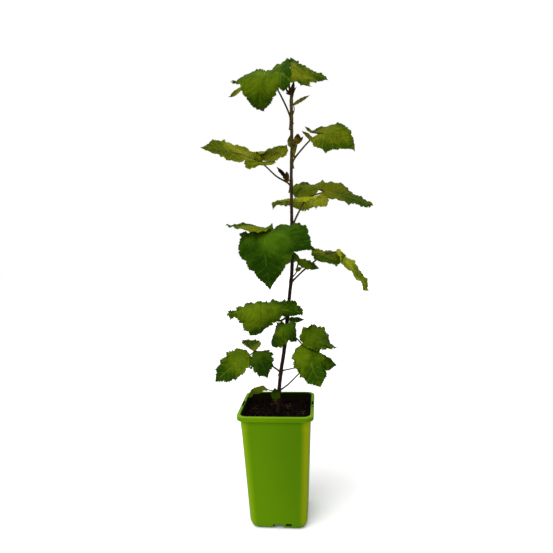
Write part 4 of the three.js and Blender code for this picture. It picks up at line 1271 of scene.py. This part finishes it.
def leaf_ribs(bm, blade, material):
    """The main veins stand out below a blade as tapered ribs."""
    surface = bent_blade(blade)
    step = 0.01
    reaches = {0: 0.94, 44: 0.5, 75: 0.7, 86: 0.42, 128: 0.33, 130: 0.33}
    for angle in MAIN_VEINS[vein_kind(blade)]:
        for sign in (1, -1)[: 2 if angle else 1]:
            reach = reaches[angle] * (blade["left" if sign > 0 else "right"][3] if angle else 1)
            turn = math.radians(angle) * sign
            line = []
            for i in range(15):
                r = reach * i / 14
                u, v = r * math.cos(turn), r * math.sin(turn) * blade["width"] ** (1 if angle else 0)
                point = surface(u, v)
                forward = surface(u + step, v) - surface(u - step, v)
                over = forward.cross(surface(u, v + step) - surface(u, v - step))
                sink = (BLADE_THICKNESS / 2 + VEIN_SINK) * blade["length"] * MM
                line.append(point - over.normalized() * sink)
            thick = (0.0085 if angle == 0 else 0.006) * blade["length"] * MM
            limb(bm, line, lambda along: thick * (1 - 0.8 * along), 6, material)


def cane_at(level):
    return next(point for point in cane_line if point.z >= level * MM)


def leaf_stalk(bm, leaf, material):
    """The stalk from the cane to the leaf's hub, and a short branch to each leaflet."""
    hub = Vector(leaf["stalk"][-1]) * MM
    away = Vector(leaf["stalk"][0]) * MM - cane_at(leaf["root"])
    beside = Vector((away.x, away.y, 0)).normalized() * (STALK_BESIDE if leaf["hugs"] else 0)
    foot = [cane_at(leaf["root"] - down) + beside for down in (*leaf["hugs"], 0)]
    line = smooth_line(foot + [Vector(point) * MM for point in leaf["stalk"]], 20)
    radius = leaf["radius"] * MM * 1.05

    def stalk_radius(along):
        return radius * (1.15 - 0.4 * along + 0.9 * max(0, 1 - along / 0.12) ** 2)

    limb(bm, line, stalk_radius, 10, material)
    for blade in leaf["blades"]:
        foot = Vector(blade["at"]) * MM
        if 0.6 * MM < (foot - hub).length < 30 * MM:
            branch = [hub, hub.lerp(foot, 0.5), foot]
            limb(bm, branch, lambda along: radius * (0.8 - 0.15 * along), 8, material)


def leaf_piece(name, leaf):
    """One leaf: its stalk, blades and ribs as one piece, with a finish for each side of a blade."""
    rng = random.Random(name)
    whole = bmesh.new()
    materials = [stalk_finish]
    for blade in leaf["blades"]:
        upper, under = LEAF_FINISHES[blade["finish"]]
        if upper not in materials:
            materials += [upper, under]
        skin = blade_skin(blade, rng)
        for face in skin.data.polygons:
            face.material_index += materials.index(upper)
        whole.from_mesh(skin.data)
        bpy.data.objects.remove(skin)
        leaf_ribs(whole, blade, 0)
    leaf_stalk(whole, leaf, 0)
    piece = made(name, whole, materials)
    smoothed(piece, 55)
    attach(piece, leaf["node"], leaf["node"])
    return piece


def vein_marks(mix):
    """Masks of the main veins, the side veins, and the panels between, from where a point lies on them."""
    veins = mix.node("ShaderNodeUVMap", {"uv_map": "veins"})
    along, across, _ = mix.parts(veins)
    side = abs(across)
    count = SIDE_VEINS * (along - SLANT * side + CURVE * (side * side))
    middle = abs(count.maths("FRACT", count) - 0.5) * 2
    main = side.share(0.02, 0.006)
    lateral = middle.share(0.7, 0.98) * side.share(0.0, 0.03)
    return main, lateral, middle, along


def leaf_finish(name, blade_tones, vein_tone, gloss, veined):
    """The two finishes of a blade: its glossier upper side, and its matt, paler under side."""

    def upper(mix):
        main, lateral, middle, along = vein_marks(mix)
        broad, patches, fine = mix.clouds(26, 1, 0.5), mix.clouds(120, 2, 0.5), mix.clouds(520, 3, 0.6)
        mesh = mix.cells(1500, "DISTANCE_TO_EDGE").share(0.0, 0.12)
        shade = 0.44 * broad + 0.18 * patches + 0.16 * fine + 0.22 * (1 - along.share(0.1, 1.0))
        colour = shade.share(0.41, 0.69).between(blade_tones[0], blade_tones[1])
        glow = along.share(0.6, 0.0) * 0.3 * broad.share(0.35, 0.6)
        colour = glow.between(colour, blade_tones[1])
        marked = (0.7 * main).larger(0.5 * lateral) * patches.share(0.34, 0.56)
        colour = (marked * veined).between(colour, vein_tone)
        pucker = mix.clouds(230, 2, 0.5)
        relief = 0.0001 * mesh - 0.0002 * lateral - 0.0003 * main + 0.0014 * pucker
        return colour, gloss + 0.18 * fine, relief

    def under(mix):
        main, lateral, middle, along = vein_marks(mix)
        broad, patches, fine = mix.clouds(26, 1, 0.5), mix.clouds(120, 2, 0.5), mix.clouds(520, 3, 0.6)
        mesh = mix.cells(1500, "DISTANCE_TO_EDGE").share(0.0, 0.15)
        shade = 0.46 * broad + 0.2 * patches + 0.16 * fine + 0.18 * (1 - along.share(0.1, 1.0))
        colour = shade.share(0.38, 0.7).between(blade_tones[2], blade_tones[3])
        marked = (0.8 * main).larger(0.6 * lateral) * patches.share(0.34, 0.56)
        colour = (marked * veined).between(colour, vein_tone)
        pucker = mix.clouds(230, 2, 0.5)
        relief = -0.0001 * mesh + 0.0003 * lateral + 0.0003 * main - 0.0011 * pucker
        return colour, 0.62 + 0.15 * fine, relief

    matt = {"Specular IOR Level": 0.014}
    return finish("leaf_" + name, upper, **matt), finish("leaf_" + name + "_under", under, **matt)


def stalk_skin(mix):
    streaks = mix.clouds(240, 3, 0.6)
    height = mix.parts(mix.place())[2]
    green = streaks.share(0.3, 0.7).between(tone(40, 40, 4), tone(72, 70, 22))
    pink = streaks.share(0.35, 0.65).between(tone(38, 28, 12), tone(64, 50, 24))
    colour = (height + 0.25 * (streaks - 0.5)).share(0.3, 0.62).between(green, pink)
    return colour, 0.5 + 0.15 * streaks, 0.0002 * streaks


stalk_finish = finish("leaf_stalk", stalk_skin, **{"Specular IOR Level": 0.06})
LEAF_FINISHES = {
    # Shaded is a darker copy of deep: painted shade for blades that lie in shadow.
    "shaded": leaf_finish(
        "shaded", (tone(14, 36, 0), tone(44, 66, 2), tone(66, 84, 24), tone(96, 108, 38)),
        tone(70, 88, 8), 0.45, 0.3,
    ),
    "deep": leaf_finish(
        "deep", (tone(22, 47, 0), tone(52, 79, 4), tone(74, 92, 26), tone(104, 116, 42)),
        tone(84, 102, 14), 0.45, 0.4,
    ),
    "bright": leaf_finish(
        "bright", (tone(28, 54, 0), tone(72, 90, 4), tone(84, 100, 28), tone(118, 128, 46)),
        tone(102, 114, 18), 0.45, 0.5,
    ),
    "green": leaf_finish(
        "green", (tone(36, 59, 0), tone(90, 96, 4), tone(90, 104, 26), tone(126, 132, 48)),
        tone(116, 120, 24), 0.45, 0.6,
    ),
    # Lemon and gold are paler, yellower greens: partly the blades' own tone, partly painted light shining
    # through them.
    "lemon": leaf_finish(
        "lemon", (tone(58, 72, 0), tone(114, 120, 14), tone(78, 90, 0), tone(124, 126, 10)),
        tone(132, 130, 26), 0.48, 0.6,
    ),
    "gold": leaf_finish(
        "gold", (tone(70, 84, 2), tone(132, 138, 20), tone(100, 112, 14), tone(146, 150, 34)),
        tone(150, 148, 44), 0.48, 0.65,
    ),
    "olive": leaf_finish(
        "olive", (tone(50, 52, 6), tone(96, 94, 26), tone(78, 80, 16), tone(112, 110, 38)),
        tone(112, 106, 36), 0.5, 0.5,
    ),
    "bronze": leaf_finish(
        "bronze", (tone(50, 34, 2), tone(108, 82, 20), tone(78, 56, 12), tone(122, 100, 42)),
        tone(116, 98, 40), 0.48, 0.5,
    ),
    "dusky": leaf_finish(
        "dusky", (tone(26, 16, 8), tone(58, 42, 20), tone(42, 28, 16), tone(72, 58, 34)),
        tone(70, 56, 32), 0.5, 0.4,
    ),
}

for leaf in LEAVES:
    leaf_piece(leaf["node"] + "_blades", leaf)


# Tip shoot
# Young folded leaves that have not opened yet stand round the cane's end on a short bud. They are
# dark red-brown, soft, and edged with bristles.

SPEARS = [
    (-30, -78, 23, 125), (-140, -35, 17, -125), (-32, -45, 16, 125),
    (126, -70, 22, -40), (61, -44, 17, 60), (157, -27, 14, -95),
]
BUD_HEIGHT = 5 * MM
BUD_RADIUS = 2.3 * MM


def tip_shoot():
    rng = random.Random(7)
    end = cane_line[-1]
    whole = bmesh.new()
    upper, under = LEAF_FINISHES["dusky"]
    for turn, dip, length, roll in SPEARS:
        spear = {
            "kind": "ovate", "lobes": 0, "width": 0.42, "at": (end + Vector((0, 0, 2 * MM))) / MM,
            "length": length, "turn": turn, "dip": dip, "roll": roll,
            "left": (38, 0, 0, 1), "right": (38, 0, 0, 1),
            "bend": 0, "droop": 12, "back": 20, "twist": 0, "wave": 0, "jagged": 0.6,
        }
        skin = blade_skin(spear, rng)
        for face in skin.data.polygons:
            face.material_index += 1
        whole.from_mesh(skin.data)
        bpy.data.objects.remove(skin)
        leaf_ribs(whole, spear, 0)
    foot = end - Vector((0, 0, 1 * MM))
    crown = end + Vector((0, 0, BUD_HEIGHT))
    bud = [foot.lerp(crown, i / 4) for i in range(5)]
    limb(whole, bud, lambda along: BUD_RADIUS * (1 - 0.5 * along * along), 12)
    return made("tip_shoot_leaves", whole, [stalk_finish, upper, under])


shoot = tip_shoot()
smoothed(shoot, 55)
attach(shoot, "tip_shoot", "tip_shoot")


# Studio
# A plain pale floor, soft light from all sides, and the camera where the photographer stood.

LENS = 36 * 450 / 553
CAMERA_PLACE = (0.08314, -0.78050, 0.49928)
CAMERA_TURN = math.radians(5.741)
CAMERA_PITCH = 0.08345
CAMERA_ROLL = -0.02983


def pale(mix):
    return tone(226, 226, 226), 0.9, 0.0001 * mix.clouds(40)


floor_skin = bmesh.new()
bmesh.ops.create_grid(floor_skin, x_segments=1, y_segments=1, size=6)
floor = made("floor", floor_skin, [finish("floor_paper", pale)])

world = bpy.data.worlds.new("studio")
world.use_nodes = True
world.node_tree.nodes["Background"].inputs["Color"].default_value = (1, 1, 1, 1)
world.node_tree.nodes["Background"].inputs["Strength"].default_value = 1.0
bpy.context.scene.world = world
bpy.context.scene.view_settings.view_transform = "Standard"

key_light = bpy.data.lights.new("key", "SUN")
key_light.energy = 3.4
key_light.angle = math.radians(60)
key = bpy.data.objects.new("key", key_light)
key.rotation_euler = Vector((0.35, 0.6, -1.0)).to_track_quat("-Z", "Y").to_euler()
bpy.context.scene.collection.objects.link(key)

lens = bpy.data.cameras.new("camera")
lens.sensor_width = 36
lens.lens = LENS
lens.clip_start = 0.01
camera = bpy.data.objects.new("camera", lens)
ahead = Vector((
    -math.sin(CAMERA_TURN) * math.cos(CAMERA_PITCH),
    math.cos(CAMERA_TURN) * math.cos(CAMERA_PITCH),
    -math.sin(CAMERA_PITCH),
))
level = Vector((math.cos(CAMERA_TURN), math.sin(CAMERA_TURN), 0))
above = level.cross(ahead)
right = level * math.cos(CAMERA_ROLL) + above * math.sin(CAMERA_ROLL)
up = above * math.cos(CAMERA_ROLL) - level * math.sin(CAMERA_ROLL)
camera.matrix_world = Matrix.Translation(CAMERA_PLACE) @ Matrix((right, up, -ahead)).transposed().to_4x4()
bpy.context.scene.collection.objects.link(camera)
bpy.context.scene.camera = camera
